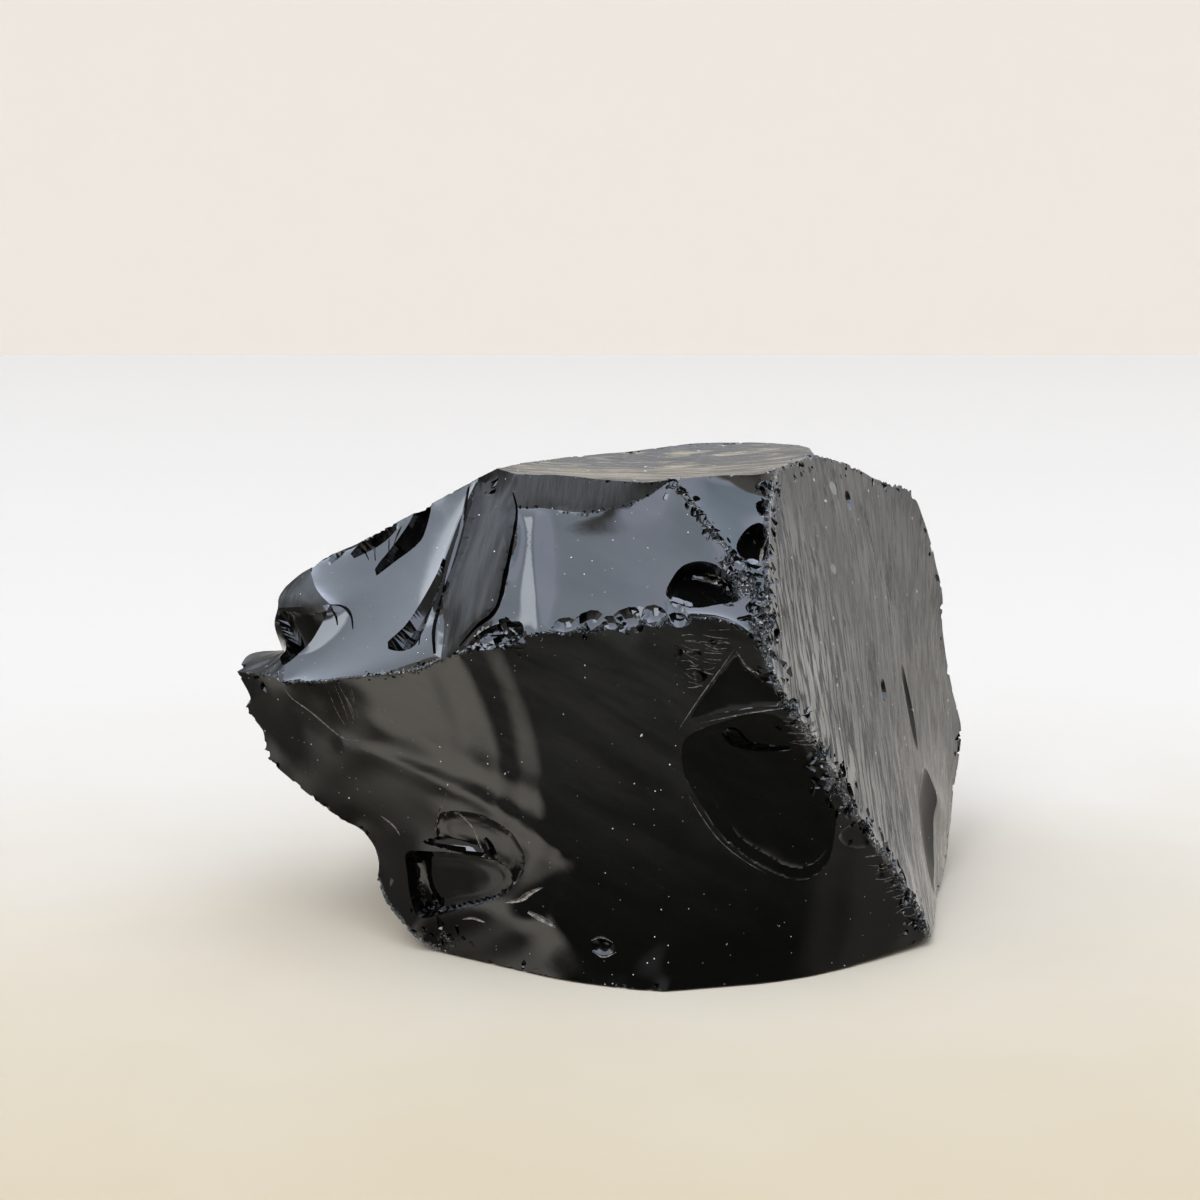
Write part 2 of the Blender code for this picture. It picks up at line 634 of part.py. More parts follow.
def obsidian():
    """Jet-black volcanic glass."""
    material = bpy.data.materials.new("obsidian")
    material.use_nodes = True
    shader = material.node_tree.nodes["Principled BSDF"]
    shader.inputs["Base Color"].default_value = (0.012, 0.012, 0.013, 1.0)
    shader.inputs["Roughness"].default_value = 0.12
    shader.inputs["Metallic"].default_value = 0.0
    return material


def main():
    for old in list(bpy.data.objects):
        bpy.data.objects.remove(old)
    arrises = arris_points({name: Vector(place) for name, place in CORNERS.items()})
    body = body_mesh(arrises)
    surface = BVHTree.FromBMesh(body)
    stone = new_object(NAME, body)
    stone.data.materials.append(obsidian())
    cut_away(stone, scars(surface))
    cut_away(stone, chips(surface, arrises))


main()
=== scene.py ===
"""The looks of the raw obsidian chunk: its fine surface, its glass, a plain pale floor, light and a camera.

The fine surface repeats the construction of the solid, in its frame, with closer points: corners, the
arrises that join them, and a smooth skin in each loop of arrises. The scars, grooves and chips of the real
surface are then cut into it. Lengths are in millimetres until a mesh is made in metres. X runs along the
stone's width, Y from its front to its back, Z up, and the stone stands on Z = 0.
"""

import math

import bmesh
import bpy
import numpy as np
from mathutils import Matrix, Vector, geometry, noise
from mathutils.bvhtree import BVHTree
from mathutils.kdtree import KDTree


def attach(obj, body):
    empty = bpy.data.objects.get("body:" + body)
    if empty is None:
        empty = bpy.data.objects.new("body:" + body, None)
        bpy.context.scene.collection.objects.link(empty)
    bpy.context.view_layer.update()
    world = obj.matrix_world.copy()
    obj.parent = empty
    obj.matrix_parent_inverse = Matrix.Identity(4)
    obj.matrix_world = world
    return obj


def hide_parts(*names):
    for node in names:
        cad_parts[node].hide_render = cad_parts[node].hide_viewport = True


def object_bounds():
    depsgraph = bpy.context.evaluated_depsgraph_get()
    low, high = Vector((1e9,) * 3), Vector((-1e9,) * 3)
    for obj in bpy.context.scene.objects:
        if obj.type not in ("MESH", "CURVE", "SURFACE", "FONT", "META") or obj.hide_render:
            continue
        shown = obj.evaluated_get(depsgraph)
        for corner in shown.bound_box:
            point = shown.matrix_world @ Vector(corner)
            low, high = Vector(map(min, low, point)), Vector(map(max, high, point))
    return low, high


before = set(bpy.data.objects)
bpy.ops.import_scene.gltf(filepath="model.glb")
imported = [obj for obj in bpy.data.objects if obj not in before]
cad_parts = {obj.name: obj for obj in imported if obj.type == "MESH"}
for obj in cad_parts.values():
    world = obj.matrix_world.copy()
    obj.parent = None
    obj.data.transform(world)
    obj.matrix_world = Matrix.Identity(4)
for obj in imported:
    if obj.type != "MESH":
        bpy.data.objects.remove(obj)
cad_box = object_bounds()

MM = 0.001
NODE = "obsidian_chunk"
MIDDLE = Vector((1.9, 1.1, 0.0))  # the middle of the stone's outline on the ground
ARRIS_SPACING = 0.45  # distance between neighbouring points of an arris,
FRONT_SPACING = 0.42  # of a face that the camera sees,
BACK_SPACING = 0.75  # and of another face
CLEARANCE = 0.62  # the least gap between a face's inner points and its arrises, as a part of the spacing
LEAST_AREA = 1e-5  # a smaller triangle isn't part of a face
SAME_PLACE = 1e-7  # points of a plane that are closer than this are one point
NOT_ZERO = 1e-9  # stands in for 0 in a division
RAGGED_GRAIN = 0.45  # how fine the small bends along an arris are
RAGGED_SHARE = 0.4  # how much of the solid's raggedness the fine arris keeps: chips make up the rest
FAR = 31.7  # a shift that takes noise to a place unlike the last
EDGE_REACH = 0.6  # how far in from its arrises a face still bends to meet them, as a part of its size,
LEAST_REACH = 8.0  # and at least how far
RELIEF_EDGE = 0.8  # how far in from its arrises a face's relief starts
SHEET_STIFFNESS = 0.1  # how much a face resists curving
OUTSIDE = -60.0  # a place along Y in front of the stone,
STONE_REACH = (30, 90)  # and where the stone starts and ends behind it
SHARP_ANGLE = 24.0  # an edge that bends more than this, in degrees, is sharp,
RIM_ANGLE = 7.0  # and so is the rim of a cut that bends more than this
GLASS_PART, SATIN_PART, MIST_PART, SCAR_PART, CHIP_PART, CRACK_PART = range(6)  # the stone's materials
UNCUT_PARTS = {GLASS_PART, SATIN_PART, MIST_PART}

# The studio: light from every side, by direction. Each cone has its direction, the angles where it starts and
# ends in degrees, and its light; each later one covers the ones before it.
ROOM = (0.95, 0.90, 0.82)
SKY_CONES = [
    ((-1.0, 0.0, -0.45), 16.0, 46.0, (0.24, 0.23, 0.20)),
    ((-0.90, 0.40, -0.10), 14.0, 26.0, (0.08, 0.08, 0.07)),
    ((-0.72, -0.50, -0.38), 4.0, 34.0, (1.30, 1.22, 1.09)),
    ((-0.92, -0.12, -0.42), 8.0, 18.0, (0.20, 0.19, 0.17)),
    ((-0.30, -0.45, -0.85), 20.0, 44.0, (0.12, 0.11, 0.09)),
    ((0.75, -0.60, -0.30), 20.0, 40.0, (0.30, 0.28, 0.26)),
    ((0.10, -1.0, -0.10), 34.0, 57.0, (0.05, 0.05, 0.04)),
    ((-0.62, -0.70, -0.38), 3.0, 17.0, (1.90, 1.78, 1.58)),
    ((-0.71, -0.66, -0.02), 10.0, 20.0, (0.05, 0.05, 0.04)),
    ((-0.60, 0.77, 0.21), 17.0, 29.0, (0.10, 0.11, 0.12)),
    ((-0.10, -0.80, 0.60), 16.0, 30.0, (0.45, 0.46, 0.44)),
]
# Each window in the ceiling: its reach from left to right and from near to far on a ceiling 1 unit up, how
# soft its edge is, and its light.
SKY_WINDOWS = [
    ((-2.40, 0.0), (-0.62, 1.55), 0.05, (2.8, 3.2, 3.8)),
    ((-0.03, 1.10), (-1.05, 1.55), 0.08, (3.8, 4.2, 5.2)),
    ((-1.95, -1.54), (0.05, 1.55), 0.09, (5.2, 5.7, 6.4)),
    ((-0.85, -0.22), (-1.30, -0.10), 0.06, (7.6, 8.2, 9.2)),
    ((0.50, 1.10), (-0.80, 1.55), 0.12, (2.5, 3.1, 3.8)),
]
WALL_PLACE = 0.51  # where the wall stands behind the stone, in metres,
STUDIO = (-3, 3, -3, 1.5)  # and the studio's left, right, near and top ends
LEAST_HEIGHT = 0.02  # the lowest that the sky's windows reach, as a part of a way 1 unit long
NEAR_FLOOR = (0.335, 0.270, 0.175)
FAR_FLOOR = (0.430, 0.395, 0.349)
FLOOR_TURN = (-70.0, 130.0)  # where the floor's colour starts and ends its turn, along Y in millimetres,
FLOOR_CLOUDS, FLOOR_TINT = 0.02, 60.0  # and how quickly and how far that place strays
WALL_COLOUR = (0.735, 0.659, 0.566)
RIGHTWARD, BACKWARD, UP = (1.0, 0.0, 0.0), (0.0, 1.0, 0.0), (0.0, 0.0, 1.0)

# The looks of the stone. A pair of colours is for the sides and for the top.
GLASS_IOR = 1.5
CLEAN_GLASS = (0.0010, 0.0010, 0.0010)
HAZE = (0.0150, 0.0142, 0.0125)  # the dull light of a thin coat of dust
POWDER = (0.36, 0.35, 0.33)  # crushed glass in the bright faces
DUST = (0.50, 0.48, 0.45)  # single specks
GLASS_ROUGHNESS = 0.035
HAZE_WAY = Vector((1.0, -0.3, -0.5))  # the way that the haze is wiped
SPECK_WAY = Vector((0.6, 0.2, 0.8))  # the way that the longer specks lie
MIST_COLOURS = ((0.013, 0.0125, 0.0115), (0.020, 0.019, 0.017))
MIST_WAY = Vector((0.12, 0.6, 0.8))
CRACK_COLOURS = ((0.02, 0.018, 0.015), (0.19, 0.165, 0.135))
FIBRE_WAY = Vector((-0.04, 0.66, 1.0))  # the way that the torn fibres run up the sides,
TOP_WAY = Vector((1.0, 0.12, 0.0))  # and along the top
ACROSS_WAY = Vector((0.31, 0.95, 0.02))  # level and along the right side
# The pale fibres, for the sides and the top: on the sides they are partly torn fibres and partly painted
# glints of sheen.
PALE_FIBRES_AND_SHEEN = ((0.230, 0.212, 0.182), (0.165, 0.132, 0.086))
DEEP_FIBRES = ((0.020, 0.019, 0.018), (0.014, 0.013, 0.011))
FAR_FIBRES = ((0.070, 0.066, 0.060), (0.085, 0.073, 0.057))
DARK_STREAKS = (0.012, 0.015, 0.020)
STREAK_ROUGHNESS = (0.14, 0.14, 0.14)
LOW_PAINTED_SHEEN = (0.24, 0.222, 0.195)  # a painted sheen: a pale place low on the right side
DARK_PATCHES_ABOVE = (0.016, 0.015, 0.013)  # where the back of the top is broken
DROPS = (0.30, 0.29, 0.27)
BITS = (0.42, 0.40, 0.36)
CRUSHED_FIBRES = (0.26, 0.25, 0.23)

# The corners of the stone.
CORNERS = {
    # The front, from the wing at the left to the foot at the right.
    "wing_tip": (-36.0, -3.0, 25.7),
    "heel": (-22.0, -8.8, 6.0),
    "base_left": (-15.9, -12.8, 0.3),
    "base_front": (6.0, -22.3, 0.2),
    "foot": (32.5, -11.0, 0.9),
    "foot_back": (34.9, 1.0, 0.4),
    "shoulder": (15.6, -17.0, 31.5),
    "ridge_left": (-30.4, -10.0, 26.6),
    # The lobe above the wing.
    "chip_tip": (-30.5, -6.5, 28.6),
    "lobe_foot": (-32.2, 2.0, 26.6),
    "lobe_side": (-32.2, 0.0, 31.5),
    "lobe_corner": (-26.3, -5.0, 33.0),
    "lobe_top": (-29.5, 4.0, 35.2),
    # The upper front.
    "strip_foot_left": (-14.8, -15.5, 30.2),
    "strip_foot_right": (-13.1, -16.0, 30.9),
    "strip_top_left": (-11.8, -2.5, 45.1),
    "strip_top_right": (-8.0, -6.0, 46.0),
    "band_left": (-7.9, -7.6, 43.0),
    "band_right": (6.9, -6.5, 45.6),
    "diagonal_foot": (15.7, -14.5, 34.7),
    # The top.
    "top_left": (-10.0, -2.5, 46.0),
    "top_corner": (17.3, -1.5, 45.9),
    "peak": (21.5, 6.0, 46.0),
    "rim_back": (33.6, 20.0, 40.2),
    "crest_left": (-2.1, 9.0, 45.4),
    "crest_right": (20.8, 13.0, 45.9),
    # The back and the base.
    "hump": (-7.0, 22.0, 17.0),
    "low_left": (-8.0, 20.0, 1.2),
    "low_right": (24.0, 21.0, 1.0),
    "rest_left": (-14.0, -2.0, 0.0),
    "rest_front": (5.0, -18.5, 0.0),
    "rest_right": (29.5, 1.0, 0.0),
    "rest_back": (9.0, 18.5, 0.0),
}

# Each arris: its two corners, the points between them, and how ragged it is.
ARRISES = [
    ("ridge_left", "wing_tip", [(-31.7, -8.5, 26.7), (-34.0, -5.5, 26.2)], 0.15),
    ("wing_tip", "heel", [(-34.5, -4.5, 23.3), (-35.1, -4.0, 22.1), (-33.3, -5.5, 20.4),
        (-32.8, -6.0, 17.8), (-30.5, -7.0, 15.9), (-28.0, -8.0, 14.0), (-25.5, -8.5, 12.3),
        (-23.6, -8.5, 11.2), (-22.3, -9.0, 9.9), (-21.7, -9.0, 7.9)], 0.3),
    ("heel", "base_left", [(-21.0, -10.0, 4.2), (-19.5, -11.5, 2.7), (-17.9, -12.5, 1.4)], 0.2),
    ("base_left", "base_front", [(-8.6, -16.9, 0.2), (-3.8, -19.5, 0.2), (1.9, -21.5, 0.2)], 0.1),
    ("base_front", "foot", [(11.2, -21.3, 0.2), (16.0, -20.2, 0.2), (20.8, -18.3, 0.2), (26.0, -15.3, 0.4)
    ], 0.1),
    ("foot", "shoulder", [(31.4, -11.8, 3.8), (29.8, -12.5, 6.6), (27.3, -14.0, 10.7), (24.3, -15.8, 15.4),
        (21.9, -17.0, 19.7), (19.9, -17.5, 23.2), (18.0, -18.0, 25.9), (16.4, -18.0, 28.9)], 0.35),
    ("foot", "foot_back", [(33.8, -5.0, 0.5)], 0.1),
    ("shoulder", "strip_foot_right", [(12.3, -17.8, 34.2), (9.1, -17.8, 34.8), (5.9, -17.5, 34.6),
        (3.7, -17.2, 34.2), (0.0, -17.0, 33.6), (-3.7, -17.0, 33.2), (-7.4, -17.0, 32.8),
        (-10.1, -16.5, 32.0)], 0.25),
    ("strip_foot_right", "strip_foot_left", [], 0.2),
    ("strip_foot_left", "ridge_left", [(-17.8, -14.5, 28.8), (-21.2, -13.5, 28.2), (-24.1, -12.5, 27.6),
        (-27.1, -11.5, 27.0)], 0.15),
    # The lobe.
    ("wing_tip", "lobe_foot", [(-35.5, 0.0, 26.5), (-34.3, 2.0, 26.5)], 0.15),
    ("ridge_left", "chip_tip", [], 0.1),
    ("chip_tip", "lobe_foot", [], 0.1),
    ("chip_tip", "lobe_corner", [(-28.6, -6.6, 29.8), (-27.3, -5.9, 31.2)], 0.1),
    ("lobe_foot", "lobe_side", [(-32.6, 0.0, 29.7)], 0.1),
    ("lobe_side", "lobe_corner", [(-29.3, -3.0, 32.3)], 0.1),
    ("lobe_side", "lobe_top", [(-32.2, 1.0, 32.4), (-31.5, 2.0, 33.4), (-30.7, 3.0, 34.2)], 0.1),
    ("lobe_corner", "lobe_top", [(-27.4, -3.5, 33.6), (-28.2, -1.6, 34.1), (-28.9, 1.0, 34.8)], 0.05),
    # The upper front.
    ("lobe_top", "strip_top_left", [(-25.7, 3.0, 36.9), (-23.2, 1.5, 38.3), (-20.6, 0.5, 39.9),
        (-17.4, -0.5, 41.7), (-14.8, -1.5, 43.3)], 0.15),
    ("strip_foot_left", "strip_top_left", [(-14.6, -13.0, 32.9), (-14.8, -11.5, 35.9), (-13.8, -9.5, 38.1),
        (-12.7, -6.5, 41.7)], 0.1),
    ("strip_foot_right", "band_left", [(-11.5, -15.8, 33.1), (-9.7, -15.0, 34.4), (-8.8, -13.0, 36.9),
        (-8.2, -10.5, 41.0)], 0.1),
    ("band_left", "strip_top_right", [], 0.05),
    ("band_left", "band_right", [(-5.7, -7.8, 43.1), (-2.4, -8.4, 42.8), (0.9, -8.6, 43.1),
        (4.0, -8.0, 44.0)], 0.15),
    ("band_right", "diagonal_foot", [(8.5, -8.0, 43.9), (10.6, -10.0, 41.4), (12.6, -12.0, 38.9),
        (14.2, -13.5, 36.8)], 0.3),
    ("diagonal_foot", "shoulder", [], 0.2),
    ("diagonal_foot", "top_corner", [(15.9, -11.5, 37.8), (16.1, -8.0, 41.0), (16.6, -4.0, 43.6)], 0.35),
    # The top.
    ("strip_top_left", "top_left", [], 0.1),
    ("top_left", "strip_top_right", [], 0.1),
    ("strip_top_right", "band_right", [(-3.8, -6.5, 46.0), (0.0, -7.0, 45.7), (4.1, -7.5, 45.5)], 0.1),
    ("band_right", "top_corner", [(11.5, -5.5, 45.8), (15.5, -4.0, 45.7)], 0.05),
    ("top_corner", "peak", [(18.8, 1.0, 45.9), (20.0, 3.0, 45.9)], 0.25),
    ("peak", "crest_right", [(21.6, 10.0, 46.0)], 0.15),
    ("crest_right", "crest_left", [(17.9, 15.0, 45.8), (14.2, 15.0, 45.9), (9.4, 14.0, 45.9),
        (4.0, 12.0, 45.5)], 0.15),
    ("crest_left", "top_left", [(-6.9, 4.0, 45.6)], 0.15),
    ("peak", "rim_back", [(23.8, 9.0, 45.1), (26.5, 13.0, 43.6), (30.1, 17.0, 41.4)], 0.35),
    ("rim_back", "foot_back", [(35.4, 21.0, 36.4), (36.9, 21.0, 31.4), (37.6, 20.0, 28.0),
        (37.6, 20.0, 24.9), (38.3, 20.0, 20.9), (38.9, 19.0, 17.5), (39.8, 18.0, 13.7), (39.3, 16.0, 10.6),
        (38.5, 14.0, 7.2), (37.7, 11.0, 3.1), (36.9, 8.0, 1.0)], 0.2),
    # The back.
    ("wing_tip", "hump", [(-31.0, 4.0, 22.0), (-24.0, 11.0, 19.5), (-15.0, 18.0, 18.0)], 0.2),
    ("hump", "crest_left", [(-6.0, 18.0, 30.0), (-4.0, 13.0, 40.0)], 0.2),
    ("hump", "low_left", [(-7.5, 21.8, 8.0)], 0.15),
    ("low_right", "crest_right", [(27.0, 24.0, 12.0), (27.5, 24.0, 25.0), (25.5, 20.0, 37.0)], 0.2),
    ("foot_back", "low_right", [(32.0, 11.0, 0.8), (29.0, 17.0, 0.9)], 0.1),
    ("low_right", "low_left", [(15.0, 23.5, 0.9), (4.0, 23.0, 0.9)], 0.1),
    ("low_left", "heel", [(-12.0, 14.0, 1.6), (-17.0, 6.0, 2.6), (-20.5, -2.0, 4.4)], 0.15),
    # The flat that the stone rests on.
    ("rest_left", "rest_front", [(-10.0, -10.0, 0.0), (-2.0, -16.0, 0.0)], 0.0),
    ("rest_front", "rest_right", [(16.0, -16.5, 0.0), (26.0, -9.5, 0.0)], 0.0),
    ("rest_right", "rest_back", [(27.0, 11.0, 0.0), (20.0, 17.5, 0.0)], 0.0),
    ("rest_back", "rest_left", [(-3.0, 16.0, 0.0), (-11.0, 8.0, 0.0)], 0.0),
    ("heel", "rest_left", [(-17.5, -5.0, 1.6)], 0.0),
    ("foot_back", "rest_right", [], 0.0),
]

# Each face: its corners in turn, anticlockwise from outside, and how far its middle stands out (+) or in (-).
FACES = {
    "lower_front": (
        "ridge_left wing_tip heel base_left "
        "base_front foot shoulder strip_foot_right strip_foot_left", 0.5,
    ),
    "wing_shelf": ("wing_tip ridge_left chip_tip lobe_foot", -0.2),
    "lobe_chip": ("lobe_foot chip_tip lobe_corner lobe_side", -0.8),
    "lobe_cap": ("lobe_side lobe_corner lobe_top", 0.3),
    "upper_left": ("ridge_left strip_foot_left strip_top_left lobe_top lobe_corner chip_tip", -1.2),
    "strip": ("strip_foot_left strip_foot_right band_left strip_top_right top_left strip_top_left", 0.2),
    "band": ("band_left band_right strip_top_right", 0.1),
    "upper_middle": ("strip_foot_right shoulder diagonal_foot band_right band_left", -0.6),
    "upper_right": ("diagonal_foot top_corner band_right", -0.4),
    "top": ("top_left strip_top_right band_right top_corner peak crest_right crest_left", -0.5),
    "right": ("foot foot_back rim_back peak top_corner diagonal_foot shoulder", 0.6),
    "back_left": ("hump wing_tip lobe_foot lobe_side lobe_top strip_top_left top_left crest_left", -0.3),
    "under_left": ("hump low_left heel wing_tip", -0.4),
    "back": ("low_right low_left hump crest_left crest_right", -0.3),
    "back_right": ("foot_back low_right crest_right peak rim_back", -0.4),
    "rim_front": ("rest_left rest_front rest_right foot_back foot base_front base_left heel", 0.0),
    "rim_back": ("rest_right rest_back rest_left heel low_left low_right foot_back", 0.0),
    "rest": ("rest_right rest_front rest_left rest_back", 0.0),
}

# Where the camera is: it looks along +Y, a little down.
CAMERA_PLACE = Vector((-1.9, -204.7, 79.3))
CAMERA_PITCH = 13.0
CAMERA_LENS, CAMERA_SENSOR = 62.76, 36.0  # the focal length and the sensor's width

# The faces that the camera sees. The others have fewer points.
SEEN = {
    "lower_front", "wing_shelf", "lobe_chip", "lobe_cap", "upper_left", "strip", "band", "upper_middle",
    "upper_right", "top", "right", "rim_front",
}
# The faces of dull, finely striated glass, and those with a fine mist of tiny cracks. The others are bright.
SATIN = {"right", "top", "back_right"}
MIST = {"strip", "band", "wing_shelf", "lobe_cap"}
# Faces that stay smooth close up to their arrises: how far in from them each still bends, in millimetres, and
# how much it resists curving.
TAUT = {"upper_left": (1.0, 0.25), "upper_middle": (0.9, 0.3)}

# A face's relief: noise that is short across the grain and long along it. Each layer is the height, the
# length across and the length along.
RELIEF = {
    "lower_front": [(0.06, 9.0, 40.0)],
    "upper_left": [(0.03, 12.0, 18.0)],
    "upper_middle": [(0.03, 12.0, 16.0)],
    "strip": [(0.03, 1.2, 12.0)],
    "band": [(0.04, 2.0, 9.0)],
    "wing_shelf": [(0.35, 1.8, 6.0), (0.12, 0.7, 3.0)],
    "lobe_cap": [(0.10, 1.5, 4.0)],
    "top": [(0.30, 7.0, 22.0), (0.08, 1.3, 9.0)],
    "right": [(0.35, 9.0, 26.0), (0.10, 2.2, 12.0), (0.05, 1.0, 5.0)],
    "back": [(0.30, 12.0, 18.0)],
    "back_left": [(0.25, 9.0, 14.0)],
    "under_left": [(0.25, 9.0, 14.0)],
    "back_right": [(0.30, 7.0, 18.0), (0.08, 1.6, 8.0)],
}
# The way that a face's grain runs, where it isn't up the face.
GRAIN = {
    "top": Vector((1.0, 0.12, 0.0)), "wing_shelf": Vector((1.0, 0.4, 0.0)), "band": Vector((1.0, 0.0, 0.0)),
    "lower_front": Vector((1.0, -0.3, -0.5)),
}

# The rings of a blow: the face, the point they spread from, the distance between them and their height.
RINGS = [
    ("lower_front", (-27.0, -11.0, 24.0), 5.5, 0.045),
    ("back", (14.0, 18.0, 46.0), 4.5, 0.10),
    ("back_left", (-30.0, 3.0, 35.0), 3.5, 0.08),
    ("under_left", (-36.0, -3.0, 25.0), 4.0, 0.08),
    ("back_right", (38.0, 20.0, 30.0), 4.0, 0.06),
]

# Folds of a face: the face, the line along it, half its width and its height.
FOLDS = [
    ("upper_middle", [(-6.3, -8.2, 42.9), (-6.1, -11.8, 38.9), (-5.7, -16.7, 32.9)], 0.9, 0.22),
    ("upper_middle", [(-6.2, -8.4, 42.0), (-6.1, -11.8, 38.9), (-5.9, -14.0, 36.0)], 0.9, 0.14),
    ("upper_middle", [(-5.2, -8.2, 42.9), (-5.0, -11.8, 38.9), (-4.8, -14.0, 36.0)], 0.5, 0.03),
    ("lower_front", [(-24.5, -10.8, 20.5), (-18.5, -13.2, 19.0), (-11.3, -16.0, 16.7), (-3.7, -18.3, 12.6)
    ], 1.0, 0.15),
    ("lower_front", [(-16.5, -12.5, 5.5), (-11.0, -15.5, 6.0), (-5.0, -18.5, 5.5)], 3.2, 0.45),
    ("lower_front", [(-26.0, -11.0, 24.0), (-16.0, -14.8, 21.5), (-6.0, -17.5, 18.0)], 1.2, 0.06),
    ("right", [(34.0, 4.0, 12.0), (35.5, 9.0, 7.0), (35.8, 13.0, 4.0)], 1.8, 0.5),
]

# The strip leans across its width, so that it shows a wall at each side.
STRIP_LEAN = 0.36
RING_WOBBLE = 0.6  # how far the rings of a blow stray, as a part of the distance between them,
RING_BEND = 14.0  # and how long their bends are
CURVE_STEPS = 12  # points of a smooth curve between two of the places it goes through

# Outlined scars of the side that the camera sees. Each has its outline by X and Z as seen from the front,
# its depth, how flat its floor is (1 is a bowl, less is a flat floor with steep walls), the way along X and
# Z that its floor leans down, as long as the part of the depth that it gains that way, and its ripples'
# height.
GREAT_SCAR = [
    (8.5, 24.3), (7.4, 23.0), (7.5, 20.6), (8.3, 18.7), (9.7, 16.3), (11.3, 14.1), (13.5, 12.1),
    (15.9, 10.5), (18.3, 9.4), (20.2, 9.6), (21.7, 11.0), (22.2, 13.4), (22.2, 16.0), (20.6, 19.0),
    (19.0, 22.4), (17.0, 25.2), (15.0, 26.0), (13.0, 25.9), (11.0, 25.2),
]
GREAT_LIP = 0.91  # the inner lip's size, as a part of the outer one's,
GREAT_PIVOT = (19.5, 20.0)  # the point that it shrinks towards,
GREAT_FLOOR = (0.75, 0.75, (0.1, -0.4), 0.0)  # and its depth, flatness, lean and ripples
PATCHES = [
    # The great scar at the right, the corner above it and the half lens at its lower right.
    (GREAT_SCAR, 0.14, 0.3, (0.0, 0.0), 0.0),
    ([(8.2, 25.4), (9.8, 28.1), (12.3, 31.3), (13.6, 29.9), (15.4, 28.6), (17.6, 26.6), (14.6, 26.3),
        (11.0, 25.8)], 0.45, 0.6, (0.3, 0.9), 0.0),
    ([(22.4, 13.3), (23.6, 14.3), (25.3, 14.2), (25.9, 12.6), (25.3, 11.6), (24.0, 11.7), (22.9, 12.3)
    ], 0.5, 0.5, (0.3, 0.8), 0.0),
    # The scoop at the lower left, with the shell above it.
    ([(-18.7, 10.0), (-16.3, 10.7), (-13.8, 11.0), (-11.2, 11.1), (-8.6, 10.4), (-8.2, 8.6), (-9.6, 7.2),
        (-12.0, 6.0), (-13.8, 5.2), (-15.6, 4.3), (-17.6, 3.7), (-18.4, 5.5), (-18.7, 7.8)
    ], 2.2, 0.2, (-0.6, -0.5), 0.05),
    ([(-15.6, 14.5), (-13.4, 15.4), (-10.6, 15.2), (-8.0, 13.6), (-7.0, 11.6), (-7.4, 9.4), (-9.0, 8.4),
        (-10.4, 10.6), (-13.0, 11.4), (-15.4, 11.8)], 0.35, 0.6, (-0.3, 0.0), 0.05),
    # The fan of cracks at the foot of the strip.
    ([(-12.4, 31.5), (-11.5, 32.6), (-10.2, 33.4), (-8.6, 33.8), (-7.2, 33.8), (-7.2, 32.4), (-9.2, 31.6),
        (-11.0, 31.2)], 1.1, 0.4, (0.0, 0.9), 0.08),
    # The fingered shell beside the black scoops.
    ([(5.9, 35.8), (7.2, 35.6), (8.4, 34.5), (7.6, 33.8), (6.2, 34.1)], 0.5, 0.7, (0.0, -0.4), 0.08),
]
